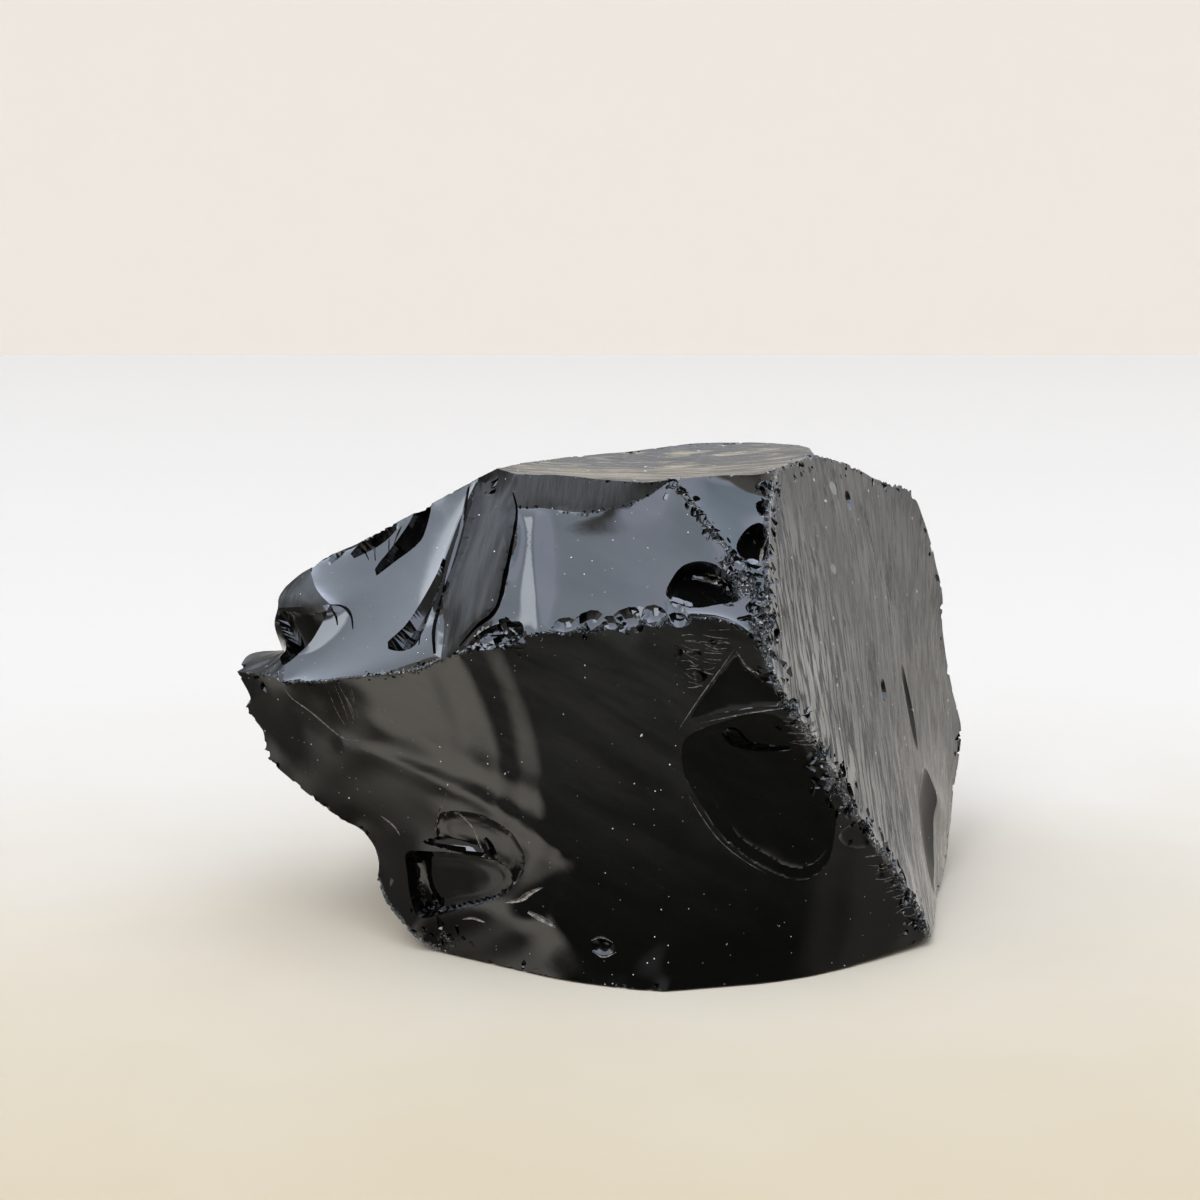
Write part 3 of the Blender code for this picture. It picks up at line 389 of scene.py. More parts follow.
# Scars whose floors are clean black glass.
DARK_PATCHES = [
    # The lobe's chip.
    ([(-32.0, 31.0), (-29.2, 31.9), (-26.6, 32.4), (-27.3, 30.8), (-28.5, 29.2), (-30.8, 27.6),
        (-31.8, 29.2)], 2.4, 0.12, (0.0, -0.95), 0.0),
    # The feather at the top of the left bright face, and the dark curve at its right end.
    ([(-16.6, 42.4), (-17.0, 39.9), (-17.7, 38.6), (-19.8, 37.0), (-22.4, 35.1), (-22.0, 36.2),
        (-20.6, 37.9), (-18.9, 40.2), (-17.9, 42.0)], 1.5, 0.15, (-0.82, 0.57), 0.0),
    ([(-18.6, 41.5), (-19.5, 40.0), (-21.4, 38.2), (-23.4, 37.0), (-25.2, 36.2), (-24.6, 37.2),
        (-23.0, 38.6), (-21.0, 40.2)], 1.2, 0.15, (-0.82, 0.57), 0.0),
    ([(-23.6, 38.4), (-24.6, 37.5), (-26.4, 36.0), (-27.6, 35.3), (-27.0, 36.3), (-25.4, 37.4)
    ], 0.6, 0.3, (-0.82, 0.57), 0.0),
    ([(-14.8, 38.6), (-15.7, 36.6), (-17.1, 34.2), (-18.6, 32.1), (-20.4, 30.4), (-19.0, 30.2),
        (-17.4, 30.8), (-16.5, 32.2), (-15.8, 34.2), (-15.0, 36.4)], 1.5, 0.15, (-0.82, 0.57), 0.0),
    # The scoops at the right end of the bright faces.
    ([(6.1, 36.0), (6.7, 37.4), (7.9, 38.5), (9.8, 38.8), (11.7, 38.1), (12.7, 36.7), (12.5, 35.7),
        (10.6, 35.3), (8.3, 35.1)], 3.0, 0.2, (0.25, 0.96), 0.0),
    ([(12.8, 39.7), (13.8, 41.1), (15.3, 41.6), (16.0, 40.6), (15.8, 38.9), (14.2, 38.3)
    ], 2.2, 0.2, (0.2, 0.96), 0.0),
    ([(14.9, 43.1), (15.9, 43.3), (16.3, 42.2), (15.4, 41.9)], 0.9, 0.4, (0.0, 0.9), 0.0),
    # The eye of the great scar.
    ([(11.2, 24.2), (12.2, 24.6), (13.1, 24.0), (13.8, 23.2), (15.2, 22.8), (18.1, 22.5), (17.2, 22.0),
        (14.3, 22.1), (12.4, 22.6), (11.5, 23.3)], 0.9, 0.4, (-0.4, -0.4), 0.0),
    # The slits above the scoop at the lower left.
    ([(-17.1, 11.5), (-15.6, 12.3), (-13.8, 12.4), (-12.1, 12.3), (-11.5, 11.9), (-11.0, 11.0),
        (-13.8, 11.1), (-15.9, 11.2)], 0.9, 0.3, (0.1, 0.6), 0.0),
    ([(-11.4, 13.3), (-10.2, 12.5), (-9.7, 11.2), (-10.3, 11.1), (-10.8, 12.1)], 0.6, 0.3, (0.3, 0.0), 0.0),
]

# Grooves, each with its line by X and Z as seen from the front, its width and its depth.
GROOVES = [
    ([(-12.7, 44.6), (-13.0, 43.0), (-13.3, 41.0), (-14.2, 37.8), (-15.0, 35.0), (-15.6, 32.4),
        (-15.4, 30.6)], 0.8, 0.8),
    ([(-8.3, 44.4), (-7.9, 42.7), (-8.3, 40.1), (-8.8, 37.8), (-9.6, 34.9), (-11.4, 33.4), (-13.0, 31.6)
    ], 0.45, 0.5),
    ([(-26.4, 33.0), (-25.0, 32.7), (-24.2, 32.0), (-23.9, 31.0)], 0.35, 0.25),
    ([(-26.2, 32.6), (-25.7, 31.9), (-25.5, 31.2)], 0.3, 0.2),
    ([(-16.4, 34.4), (-16.9, 32.6), (-17.0, 31.0)], 0.3, 0.3),
]
# Sets of hackles, fine grooves side by side: the line that their starts lie on, the line that their ends lie
# on, how many there are, their width and their depth.
HACKLES = [
    (((-17.6, 41.0), (-24.0, 37.4)), ((-18.4, 38.4), (-23.6, 36.4)), 5, 0.25, 0.15),
    (((-11.9, 31.7), (-7.6, 33.4)), ((-7.4, 31.9), (-7.0, 32.3)), 4, 0.25, 0.12),
    (((6.2, 35.7), (6.4, 34.4)), ((8.2, 34.9), (7.7, 34.0)), 3, 0.3, 0.14),
]
# Open cracks and scratches with pale crushed glass in them, given like the grooves and like the hackles.
CRACKS = [
    ([(-30.9, 26.6), (-29.8, 24.8), (-27.7, 23.4), (-25.0, 21.4), (-23.1, 21.2)], 0.24, 0.12),
    ([(12.3, 31.8), (10.0, 28.6), (8.6, 26.6), (7.2, 24.4)], 0.18, 0.08),
    ([(9.2, 25.0), (12.5, 25.7), (15.4, 26.1), (17.5, 26.3)], 0.2, 0.08),
    ([(12.5, 31.6), (13.4, 30.2), (14.6, 29.4)], 0.3, 0.12),
    ([(8.0, 18.6), (9.4, 16.2), (11.0, 14.0), (13.2, 12.0), (15.6, 10.4)], 0.16, 0.06),
    ([(-13.6, 15.2), (-12.1, 13.8), (-11.5, 12.4), (-10.9, 11.0)], 0.3, 0.12),
    ([(-14.5, 17.1), (-15.4, 14.6), (-15.8, 12.3)], 0.2, 0.1),
    ([(-19.3, 11.6), (-20.0, 12.6), (-21.2, 13.4)], 0.3, 0.12),
    ([(-9.0, 6.9), (-7.6, 7.3), (-6.6, 8.1), (-5.4, 8.8)], 0.6, 0.15),
    ([(-6.8, 6.3), (-5.4, 5.8), (-4.2, 5.2)], 0.75, 0.15),
    ([(-13.2, 4.4), (-12.2, 4.7), (-11.0, 4.5)], 0.45, 0.12),
    ([(-0.8, 4.2), (0.1, 4.6), (1.2, 4.2)], 0.25, 0.12),
    ([(-0.7, 3.2), (0.3, 2.8), (1.5, 3.3)], 0.3, 0.12),
    ([(23.3, 22.7), (23.7, 21.4), (24.2, 20.2)], 0.24, 0.1),
    ([(15.9, 40.3), (15.4, 39.0), (14.9, 38.3)], 0.4, 0.15),
    ([(8.9, 36.9), (10.2, 36.6), (11.4, 36.9)], 0.3, 0.15),
    ([(9.9, 37.4), (11.2, 37.2), (12.0, 36.6)], 0.25, 0.15),
]
CRACK_SETS = [
    (((-26.2, 27.0), (-23.2, 27.2)), ((-24.2, 22.4), (-22.8, 24.0)), 6, 0.13, 0.06),
    (((6.9, 33.4), (8.2, 28.4)), ((8.8, 33.2), (9.3, 28.0)), 15, 0.13, 0.07),
    (((9.3, 33.6), (9.2, 29.6)), ((12.2, 33.4), (10.4, 29.2)), 12, 0.14, 0.07),
    (((16.0, 25.6), (17.4, 22.8)), ((20.0, 25.0), (20.9, 22.4)), 9, 0.14, 0.07),
    (((24.9, 11.2), (28.6, 3.6)), ((27.0, 11.0), (31.0, 3.8)), 14, 0.13, 0.08),
    (((20.6, 21.0), (22.6, 17.6)), ((22.0, 20.8), (24.0, 17.4)), 7, 0.16, 0.08),
]

# Bowls struck into the faces: a point on the face, the half length, half width and depth, and the turn in the
# face, in degrees anticlockwise from level as seen from outside.
BOWLS = [
    ((0.4, -20.0, 3.6), 1.2, 0.8, 0.5, 0),
    ((-3.2, -16.6, 33.8), 1.1, 1.0, 0.4, 0),
    ((-0.9, -16.4, 34.1), 1.5, 1.3, 0.6, 20),
    ((1.0, -16.8, 34.1), 1.1, 0.9, 0.5, -10),
    ((2.7, -16.6, 34.5), 1.6, 1.4, 0.7, 10),
    ((4.9, -16.6, 34.9), 1.4, 1.3, 0.6, -20),
    ((25.7, 8.6, 40.9), 1.1, 0.7, 0.5, 60),
    ((32.0, 5.8, 19.8), 5.0, 0.9, 0.5, 80),
    ((34.4, 1.2, 7.3), 6.0, 3.2, 1.0, 70),
    ((28.7, 0.0, 23.0), 1.2, 0.6, 0.4, 70),
    ((4.0, 22.0, 33.0), 17.0, 11.5, 2.8, 20),
    ((21.0, 22.0, 31.0), 14.0, 10.0, 2.6, -60),
    ((10.0, 25.0, 12.0), 20.0, 10.5, 2.8, 5),
    ((-6.0, 21.0, 18.0), 12.0, 9.0, 2.4, 75),
    ((-22.0, 9.0, 27.0), 12.0, 8.0, 2.2, 20),
    ((-9.0, 13.0, 37.0), 9.5, 6.0, 1.6, 50),
    ((32.0, 21.5, 22.0), 15.0, 5.5, 1.6, 78),
    ((-21.0, 8.0, 14.0), 14.0, 9.0, 2.0, 30),
]
BOWL_REACH = 1.5  # how far out a bowl goes on above the face, as a part of its size
BOWL_STEP = 0.77  # distance between neighbouring points of a bowl,
LEAST_RINGS, LEAST_SPOKES = 3, 14  # and its least numbers of rings and of points in each
BOWL_WOBBLE = 0.12  # how far a bowl's rim strays from an oval, as a part of its size,
BOWL_BENDS = 1.3  # and how quickly
WAVE = 0.07  # the height of a bowl's ripples, as a part of its depth,
WAVES = 2.5  # and how many there are between its middle and its rim
LEAST_SHARE = 0.08  # the least depth of an outlined scar's floor, as a part of its full depth
PATCH_WAVES = 3.0  # how many ripples an outlined scar has between its deepest place and its rim
PATCH_FINENESS = 0.8  # how close the points of an outlined scar are, as a part of the face's own spacing
PATCH_ROUGH, PATCH_BEND = 0.05, 2.5  # the height and the size of its small waves
PATCH_LIP = 0.06  # how far above the face its rim starts, so that it cuts the face cleanly
PATCH_LID = (4.0, 2.0)  # how far above its floor its lid is: a multiple of its depth, and a part besides
GROOVE_STEP = (0.3, 0.7)  # distance between a groove's points: the least, and as a part of its width
GROOVE_END = 0.15  # how thin a groove's ends are,
GROOVE_WOBBLE, GROOVE_BENDS = 0.35, 0.9  # how much its width strays, and how quickly,
GROOVE_LIP, GROOVE_LID = 0.04, 0.6  # and how far its edges and its lid stand above the face
HACKLE_SCATTER, HACKLE_BOW, HACKLE_CUT = 0.22, 0.12, 0.35  # how uneven hackles' ends, bends and lengths are
HACKLE_WIDTHS = (0.7, 1.3)  # the least and the greatest width of one, as a part of its set's

# The wear of each arris: its corners, how crushed it is, how far in the crushing reaches, chips for each
# millimetre of it, and the size of its chips.
WEAR = [
    ("foot", "shoulder", 1.0, 0.9, 4.0, 0.75),
    ("diagonal_foot", "shoulder", 1.0, 1.1, 5.0, 0.70),
    ("diagonal_foot", "top_corner", 1.0, 0.7, 3.5, 0.55),
    ("band_right", "diagonal_foot", 1.0, 0.45, 4.5, 0.60),
    ("shoulder", "strip_foot_right", 0.9, 0.22, 3.5, 0.34),
    ("strip_foot_left", "ridge_left", 1.0, 0.22, 3.5, 0.24),
    ("lobe_top", "strip_top_left", 0.6, 0.18, 2.0, 0.32),
    ("strip_top_right", "band_right", 0.4, 0.10, 1.5, 0.22),
    ("band_left", "band_right", 0.3, 0.10, 2.5, 0.20),
    ("top_corner", "peak", 0.7, 0.8, 2.5, 0.55),
    ("band_right", "top_corner", 0.3, 0.15, 1.0, 0.25),
    ("peak", "rim_back", 0.7, 0.6, 2.0, 0.60),
    ("rim_back", "foot_back", 0.5, 0.5, 1.0, 0.60),
    ("wing_tip", "heel", 0.6, 0.3, 2.0, 0.50),
    ("heel", "base_left", 0.8, 0.8, 2.5, 0.60),
    ("ridge_left", "wing_tip", 0.5, 0.25, 1.5, 0.35),
    ("base_left", "base_front", 0.4, 0.3, 0.8, 0.45),
    ("crest_right", "crest_left", 0.6, 0.4, 1.2, 0.55),
    ("peak", "crest_right", 0.6, 0.4, 1.2, 0.50),
    ("crest_left", "top_left", 0.5, 0.3, 1.2, 0.45),
    ("low_right", "crest_right", 0.5, 0.4, 1.0, 0.70),
    ("hump", "crest_left", 0.4, 0.4, 0.8, 0.60),
    ("wing_tip", "hump", 0.5, 0.4, 0.9, 0.65),
]
# Crushed places: the middle, how far each spreads, how crushed it is and how many angular chips it has lost.
CRUSHED = [
    ((10.6, -10.2, 41.2), 0.6, 0.8, 10),
    ((12.2, -12.0, 39.0), 1.0, 0.9, 22),
    ((13.4, -13.4, 36.6), 1.9, 1.0, 64),
    ((14.9, -16.2, 33.6), 1.7, 1.0, 44),
    ((15.4, -15.4, 36.6), 1.2, 1.0, 20),
    ((22.0, -16.8, 18.4), 1.7, 0.8, 30),
    ((20.6, -17.2, 21.4), 1.0, 0.8, 12),
    ((9.0, -18.0, 30.6), 1.6, 0.3, 7),
    ((-14.6, -13.6, 1.8), 2.0, 0.6, 22),
    ((-17.0, -11.8, 3.6), 1.0, 0.3, 8),
    ((31.0, -12.0, 3.0), 1.2, 0.7, 12),
    ((15.8, -3.5, 44.6), 1.0, 0.8, 14),
    ((-8.6, -16.6, 32.9), 1.2, 0.8, 22),
    ((-1.0, -16.8, 33.7), 0.9, 0.9, 12),
    ((2.6, -17.0, 34.1), 0.9, 0.9, 14),
    ((5.4, -17.2, 34.4), 1.0, 0.9, 14),
    ((-34.0, -5.6, 25.2), 1.2, 0.3, 8),
    ((-11.5, -3.5, 45.2), 1.0, 0.5, 6),
]
CHIP_SIZE = (0.30, 0.85)  # the least and the greatest size of a crushed place's chips
CHIP_POINTS = 12  # how many points make a chip,
CHIP_STRETCH = (0.6, 1.4)  # and how far they are from its middle, as a part of its size
WEAR_SIZE = (0.45, 1.25)  # the least and the greatest size of an arris's chip, as a part of the arris's own
CRUSHED_SPREAD = 0.7  # how far a crushed place's chips spread, as a part of its own spread
NORMAL_REACH = 0.4  # how far about an arris's chip the surface tells which way is outward
CHIP_STAND = 0.45  # how far the middle of a chip is outside the stone, as a part of its size
SEED = 11


def smooth_curve(points):
    """A curve through the points, as a Catmull-Rom spline."""
    path = [points[0] * 2 - points[1], *points, points[-1] * 2 - points[-2]]
    found = []
    for a, b, c, d in zip(path, path[1:], path[2:], path[3:]):
        slope = (c - a) / 2
        bend = (2 * a - 5 * b + 4 * c - d) / 2
        twist = (3 * b - a - 3 * c + d) / 2
        for step in range(CURVE_STEPS):
            t = step / CURVE_STEPS
            found.append(b + slope * t + bend * t**2 + twist * t**3)
    return [*found, points[-1]]


def evenly(path, spacing):
    """The path's points moved to even distances near spacing, its two ends kept."""
    lengths = [0.0]
    for a, b in zip(path, path[1:]):
        lengths.append(lengths[-1] + (b - a).length)
    count = max(2, round(lengths[-1] / spacing))
    wanted = np.linspace(0, lengths[-1], count + 1)
    columns = [np.interp(wanted, lengths, [p[axis] for p in path]) for axis in range(len(path[0]))]
    return [Vector(p) for p in zip(*columns)]


def ragged(path, amount, seed):
    """The path with small bends: points move by noise, and the ends stay."""
    for i in range(1, len(path) - 1):
        place = path[i] * RAGGED_GRAIN + Vector((seed * FAR, 0, 0))
        shift = [noise.noise(place + Vector((0, 0, axis * FAR))) for axis in range(3)]
        path[i] = path[i] + Vector(shift) * amount * RAGGED_SHARE
    return path


def arris_points():
    """The points along each arris, by its two corners."""
    corners = {name: Vector(place) for name, place in CORNERS.items()}
    found = {}
    for seed, (start, end, between, roughness) in enumerate(ARRISES):
        route = [corners[start], *map(Vector, between), corners[end]]
        found[start, end] = ragged(evenly(smooth_curve(route), ARRIS_SPACING), roughness, seed)
    return found


def mean_value_weights(points, outline):
    """How much each outline point counts at each inner point: mean value coordinates, not yet scaled."""
    away = outline[None] - points[:, None]
    ahead = np.roll(away, -1, axis=1)
    reach = np.linalg.norm(away, axis=2)
    reach_ahead = np.roll(reach, -1, axis=1)
    cross = away[..., 0] * ahead[..., 1] - away[..., 1] * ahead[..., 0]
    dot = (away * ahead).sum(axis=2)
    half_tan = (reach * reach_ahead - dot) / np.where(np.abs(cross) < NOT_ZERO, NOT_ZERO, cross)
    return (half_tan + np.roll(half_tan, 1, axis=1)) / reach


def inside(points, outline):
    """Which points lie inside the closed outline."""
    x, y = points[:, None, 0], points[:, None, 1]
    x0, y0 = outline[:, 0], outline[:, 1]
    x1, y1 = np.roll(x0, -1), np.roll(y0, -1)
    crosses = (y0 > y) != (y1 > y)
    rise = np.where(y1 == y0, NOT_ZERO, y1 - y0)
    return (crosses & (x < (x1 - x0) * (y - y0) / rise + x0)).sum(axis=1) % 2 == 1


def inner_grid(outline, spacing):
    """Points of a triangular grid inside the outline, clear of it, and each one's gap to it."""
    low, high = outline.min(axis=0), outline.max(axis=0)
    rows = np.arange(low[1], high[1], spacing * math.sqrt(3) / 2)
    columns = np.arange(low[0], high[0], spacing)
    x = columns[None] + (np.arange(len(rows)) % 2)[:, None] * spacing / 2
    grid = np.column_stack([x.ravel(), np.repeat(rows, len(columns))])
    grid = grid[inside(grid, outline)]
    gap = np.linalg.norm(grid[:, None] - outline[None], axis=2).min(axis=1)
    clear = gap > spacing * CLEARANCE
    return grid[clear], gap[clear]


def filled(outline, grid):
    """Triangles over the outline's inside that join its points and the grid's."""
    flat = np.concatenate([outline, grid])
    places, _, faces, sources, *_ = geometry.delaunay_2d_cdt(
        [Vector(p) for p in flat], [], [range(len(outline))], 1, SAME_PLACE, True
    )
    corners = np.array(places)[np.array(faces)]
    (x1, y1), (x2, y2) = (corners[:, 1] - corners[:, 0]).T, (corners[:, 2] - corners[:, 0]).T
    # A straight stretch of the outline leaves flat triangles along it.
    kept = inside(corners.mean(axis=1), outline) & (x1 * y2 - x2 * y1 > LEAST_AREA)
    return [[sources[i][0] for i in face] for face, keep in zip(faces, kept) if keep]


def loop_frame(loop):
    """The middle of a loop of points, and two axes of its plane with the normal third."""
    middle = loop.mean(axis=0)
    ahead = np.roll(loop, -1, axis=0)
    normal = np.cross(loop - middle, ahead - middle).sum(axis=0)
    normal /= np.linalg.norm(normal)
    across = np.cross((0.0, 0.0, 1.0) if abs(normal[2]) < 0.9 else (0.0, 1.0, 0.0), normal)
    across /= np.linalg.norm(across)
    return middle, across, np.cross(normal, across), normal


def fitted_sheet(flat, height, stiffness):
    """The smoothest curved sheet near the outline's heights, as a function of the place in the plane."""
    size = np.linalg.norm(flat, axis=1).max()

    def terms(places):
        u, v = (places / size).T
        ones = np.ones_like(u)
        return np.column_stack([ones, u, v, u * u, u * v, v * v, u**3, u * u * v, u * v * v, v**3])

    bending = np.diag([0.0] * 3 + [1.0] * 7) * stiffness * math.sqrt(len(flat))
    known = np.vstack([terms(flat), bending])
    weights = np.linalg.lstsq(known, np.concatenate([height, np.zeros(10)]), rcond=None)[0]
    return lambda places: terms(places) @ weights


def face_skin(loop, bulge, spacing, relief, seen_from_front=False, taut=None):
    """The inner points and the triangles of a smooth face that spans the loop.

    Triangles count the loop's points first, then the inner ones. The relief is a function of the inner
    points, their gap to the loop, how far in they lie from 0 to 1 and the face's normal. The points are
    laid out in the loop's own plane, or as they are seen from the front. A taut face gives how far in from
    its arrises it still bends and how much it resists curving.
    """
    middle, across, up, normal = loop_frame(loop)
    outwards = normal
    if seen_from_front:
        across, up, normal = np.array([(1.0, 0.0, 0.0), (0.0, 0.0, 1.0), (0.0, -1.0, 0.0)])
    flat = np.column_stack([(loop - middle) @ across, (loop - middle) @ up])
    grid, gap = inner_grid(flat, spacing)
    triangles = filled(flat, grid)
    weights = mean_value_weights(grid, flat)
    total = weights.sum(axis=1)
    weights /= total[:, None]
    widest = np.linalg.norm(flat, axis=1).max()
    reach, stiffness = taut or (max(LEAST_REACH, EDGE_REACH * widest), SHEET_STIFFNESS)
    sheet = fitted_sheet(flat, (loop - middle) @ normal, stiffness)
    # The face keeps to the smooth sheet, and bends to meet its outline only near it.
    height = sheet(grid) + weights @ ((loop - middle) @ normal - sheet(flat)) * np.exp(-gap / reach)
    # The mean of the outline's squared reach, less the point's own, is a dome that is 0 on the outline.
    dome = weights @ (flat**2).sum(axis=1) - (grid**2).sum(axis=1)
    height += bulge * dome / dome.max()
    inner = middle + np.outer(grid[:, 0], across) + np.outer(grid[:, 1], up) + np.outer(height, normal)
    # The total of the weights is a smooth measure of how near the loop is.
    return inner + np.outer(relief(inner, gap, total.min() / total, outwards), outwards), triangles


def distance_to_line(points, line):
    """How far each point is from the smooth line through the given places."""
    path = np.array(evenly(smooth_curve([Vector(p) for p in line]), ARRIS_SPACING))
    return np.linalg.norm(points[:, None] - path[None], axis=2).min(axis=1)


def grained_noise(points, along, across, third, length, width):
    """Noise that is long along one direction and short across it."""
    scaled = np.column_stack([points @ along / length, points @ across / width, points @ third / width])
    return np.array([noise.noise(Vector(p)) for p in scaled])


def face_relief(name):
    """The height of a face's own waves, rings and folds, as a function for face_skin."""

    def relief(points, gap, _, normal):
        along = np.array(GRAIN.get(name, Vector((0.0, 0.0, 1.0))))
        along = along - normal * (along @ normal)
        along /= max(np.linalg.norm(along), NOT_ZERO)
        across = np.cross(normal, along)
        height = np.zeros(len(points))
        for amount, width, length in RELIEF.get(name, []):
            height += amount * grained_noise(points, along, across, normal, length, width)
        for face, middle, ring, amount in RINGS:
            if face == name:
                reach = np.linalg.norm(points - np.array(middle), axis=1)
                wobble = RING_WOBBLE * grained_noise(points, along, across, normal, RING_BEND, RING_BEND)
                height += amount * np.sin(math.tau * (reach / ring + wobble))
        for face, line, half_width, amount in FOLDS:
            if face == name:
                height += amount * np.exp(-((distance_to_line(points, line) / half_width) ** 2))
        if name == "strip":
            height -= STRIP_LEAN * (points @ across - (points @ across).mean())
        return height * (1 - np.exp(-gap / RELIEF_EDGE))

    return relief


def body_mesh(arrises):
    """The whole body as one closed bmesh, in metres, each face with its material."""
    points, index = [], {}

    def number_of(key, place):
        if key not in index:
            index[key] = len(points)
            points.append(place)
        return index[key]

    def side(start, end):
        """The point numbers from one corner up to, not including, the next."""
        flip = (start, end) not in arrises
        key = (end, start) if flip else (start, end)
        path = arrises[key]
        numbers = [number_of(key[0], path[0])]
        numbers += [number_of((key, i), path[i]) for i in range(1, len(path) - 1)]
        numbers.append(number_of(key[1], path[-1]))
        return numbers[::-1][:-1] if flip else numbers[:-1]

    triangles = []
    for name, (ring, bulge) in FACES.items():
        ring = ring.split()
        loop = [n for a, b in zip(ring, ring[1:] + ring[:1]) for n in side(a, b)]
        spacing = FRONT_SPACING if name in SEEN else BACK_SPACING
        outline = np.array([points[n] for n in loop])
        inner, faces = face_skin(outline, bulge, spacing, face_relief(name), taut=TAUT.get(name))
        numbers = loop + list(range(len(points), len(points) + len(inner)))
        points.extend(Vector(p) for p in inner)
        triangles += [([numbers[i] for i in face], name) for face in faces]

    body = bmesh.new()
    made = [body.verts.new(to_scene(point)) for point in points]
    for triangle, name in triangles:
        face = body.faces.new([made[i] for i in triangle])
        face.material_index = SATIN_PART if name in SATIN else MIST_PART if name in MIST else GLASS_PART
    body.normal_update()
    return body


def face_axes(normal):
    """The level and the rising axis of a face with this outward normal."""
    across = Vector((0, 0, 1)) if abs(normal.z) < 0.9 else Vector((0, 1, 0))
    across = across.cross(normal).normalized()
    return across, normal.cross(across)


def to_scene(place):
    """A place in the stone's own millimetres, as one in the scene."""
    return (place - MIDDLE) * MM


def nearest(surface, place):
    """The place of the surface that is nearest to this one, and the outward normal there."""
    found, normal, _, _ = surface.find_nearest(to_scene(place))
    return found / MM + MIDDLE, normal


def on_front(surface, x, z):
    """The place on the stone's front that is seen at this X and Z, and the outward normal there."""
    start = to_scene(Vector((x, OUTSIDE, z)))
    place, normal, _, _ = surface.ray_cast(start, Vector((0, 1, 0)))
    if place is None:
        # The line of sight passes just outside the stone, beside its nearest place.
        ways = [start + Vector((0, y * MM, 0)) for y in range(*STONE_REACH)]
        place, normal, _, _ = min(map(surface.find_nearest, ways), key=lambda found: found[3])
    return Vector((x, place.y / MM + MIDDLE.y, z)), normal


def join_rings(cutter, one, two):
    """A closed band of faces between two rings of points."""
    for i in range(len(one)):
        j = (i + 1) % len(one)
        cutter.faces.new([one[i], one[j], two[j], two[i]])


def bowl(surface, spot, half_length, half_width, depth, turn):
    """A cutter like a bowl, with its rim on the face and its lid outside."""
    place, normal = nearest(surface, Vector(spot))
    level, rising = face_axes(normal)
    angle = math.radians(turn)
    along = level * math.cos(angle) + rising * math.sin(angle)
    across = normal.cross(along)
    ring_count = max(LEAST_RINGS, round(BOWL_REACH * half_length / BOWL_STEP))
    spokes = max(LEAST_SPOKES, round(math.pi * (half_length + half_width) / BOWL_STEP))
    cutter = bmesh.new()

    def point(reach, spoke):
        phase = math.tau * spoke / spokes
        bends = Vector((math.cos(phase), math.sin(phase), spot[0])) * BOWL_BENDS
        wobble = 1 + BOWL_WOBBLE * noise.noise(bends)
        ripple = WAVE * math.cos(math.tau * WAVES * reach) * (1 - reach) if reach < 1 else 0.0
        rise = depth * (reach**2 - 1 + ripple)
        flat = along * (half_length * math.cos(phase)) + across * (half_width * math.sin(phase))
        return cutter.verts.new(to_scene(place + flat * reach * wobble + normal * rise))

    reaches = [BOWL_REACH * ring / ring_count for ring in range(1, ring_count + 1)]
    rings = [[point(reach, i) for i in range(spokes)] for reach in reaches]
    bottom = point(0.0, 0)
    for inner, outer in zip(rings, rings[1:]):
        join_rings(cutter, inner, outer)
    for i in range(spokes):
        cutter.faces.new([bottom, rings[0][(i + 1) % spokes], rings[0][i]])
    cutter.faces.new(rings[-1])
    return cutter


def patch(surface, outline, depth, flatness, lean, ripple):
    """A cutter whose floor is a dished sheet that meets the face along the outline."""
    # The curve starts a point early and ends a point late, so that it closes smoothly.
    closed = smooth_curve([Vector(p) for p in [outline[-1], *outline, *outline[:2]]])
    flat_outline = evenly(closed[CURVE_STEPS:-CURVE_STEPS], ARRIS_SPACING * PATCH_FINENESS)[:-1]
    if sum(a.cross(b) for a, b in zip(flat_outline, flat_outline[1:] + flat_outline[:1])) < 0:
        flat_outline.reverse()
    loop = np.array([on_front(surface, p.x, p.y)[0] for p in flat_outline])

    def relief(points, gap, inwards, normal):
        downhill = points[:, 0] * lean[0] + points[:, 2] * lean[1]
        share = 1 - math.hypot(*lean) * (downhill.max() - downhill) / max(np.ptp(downhill), NOT_ZERO)
        grain = [normal, np.roll(normal, 1), np.roll(normal, 2)]
        rough = PATCH_ROUGH * grained_noise(points, *grain, PATCH_BEND, PATCH_BEND)
        waves = ripple * np.sin(math.tau * PATCH_WAVES * inwards)
        floor = depth * np.clip(share, LEAST_SHARE, 1.0) + rough
        return -floor * inwards**flatness + waves * (1 - inwards)

    inner, triangles = face_skin(loop, 0.0, FRONT_SPACING * PATCH_FINENESS, relief, seen_from_front=True)
    normal = loop_frame(loop)[3]
    points = np.concatenate([loop + normal * PATCH_LIP, inner])
    lid = points + normal * (depth * PATCH_LID[0] + PATCH_LID[1])
    cutter = bmesh.new()
    bottom, top = [[cutter.verts.new(to_scene(Vector(p))) for p in side] for side in (points, lid)]
    for a, b, c in triangles:
        cutter.faces.new([bottom[c], bottom[b], bottom[a]])
        cutter.faces.new([top[a], top[b], top[c]])
    join_rings(cutter, bottom[:len(loop)], top[:len(loop)])
    return cutter


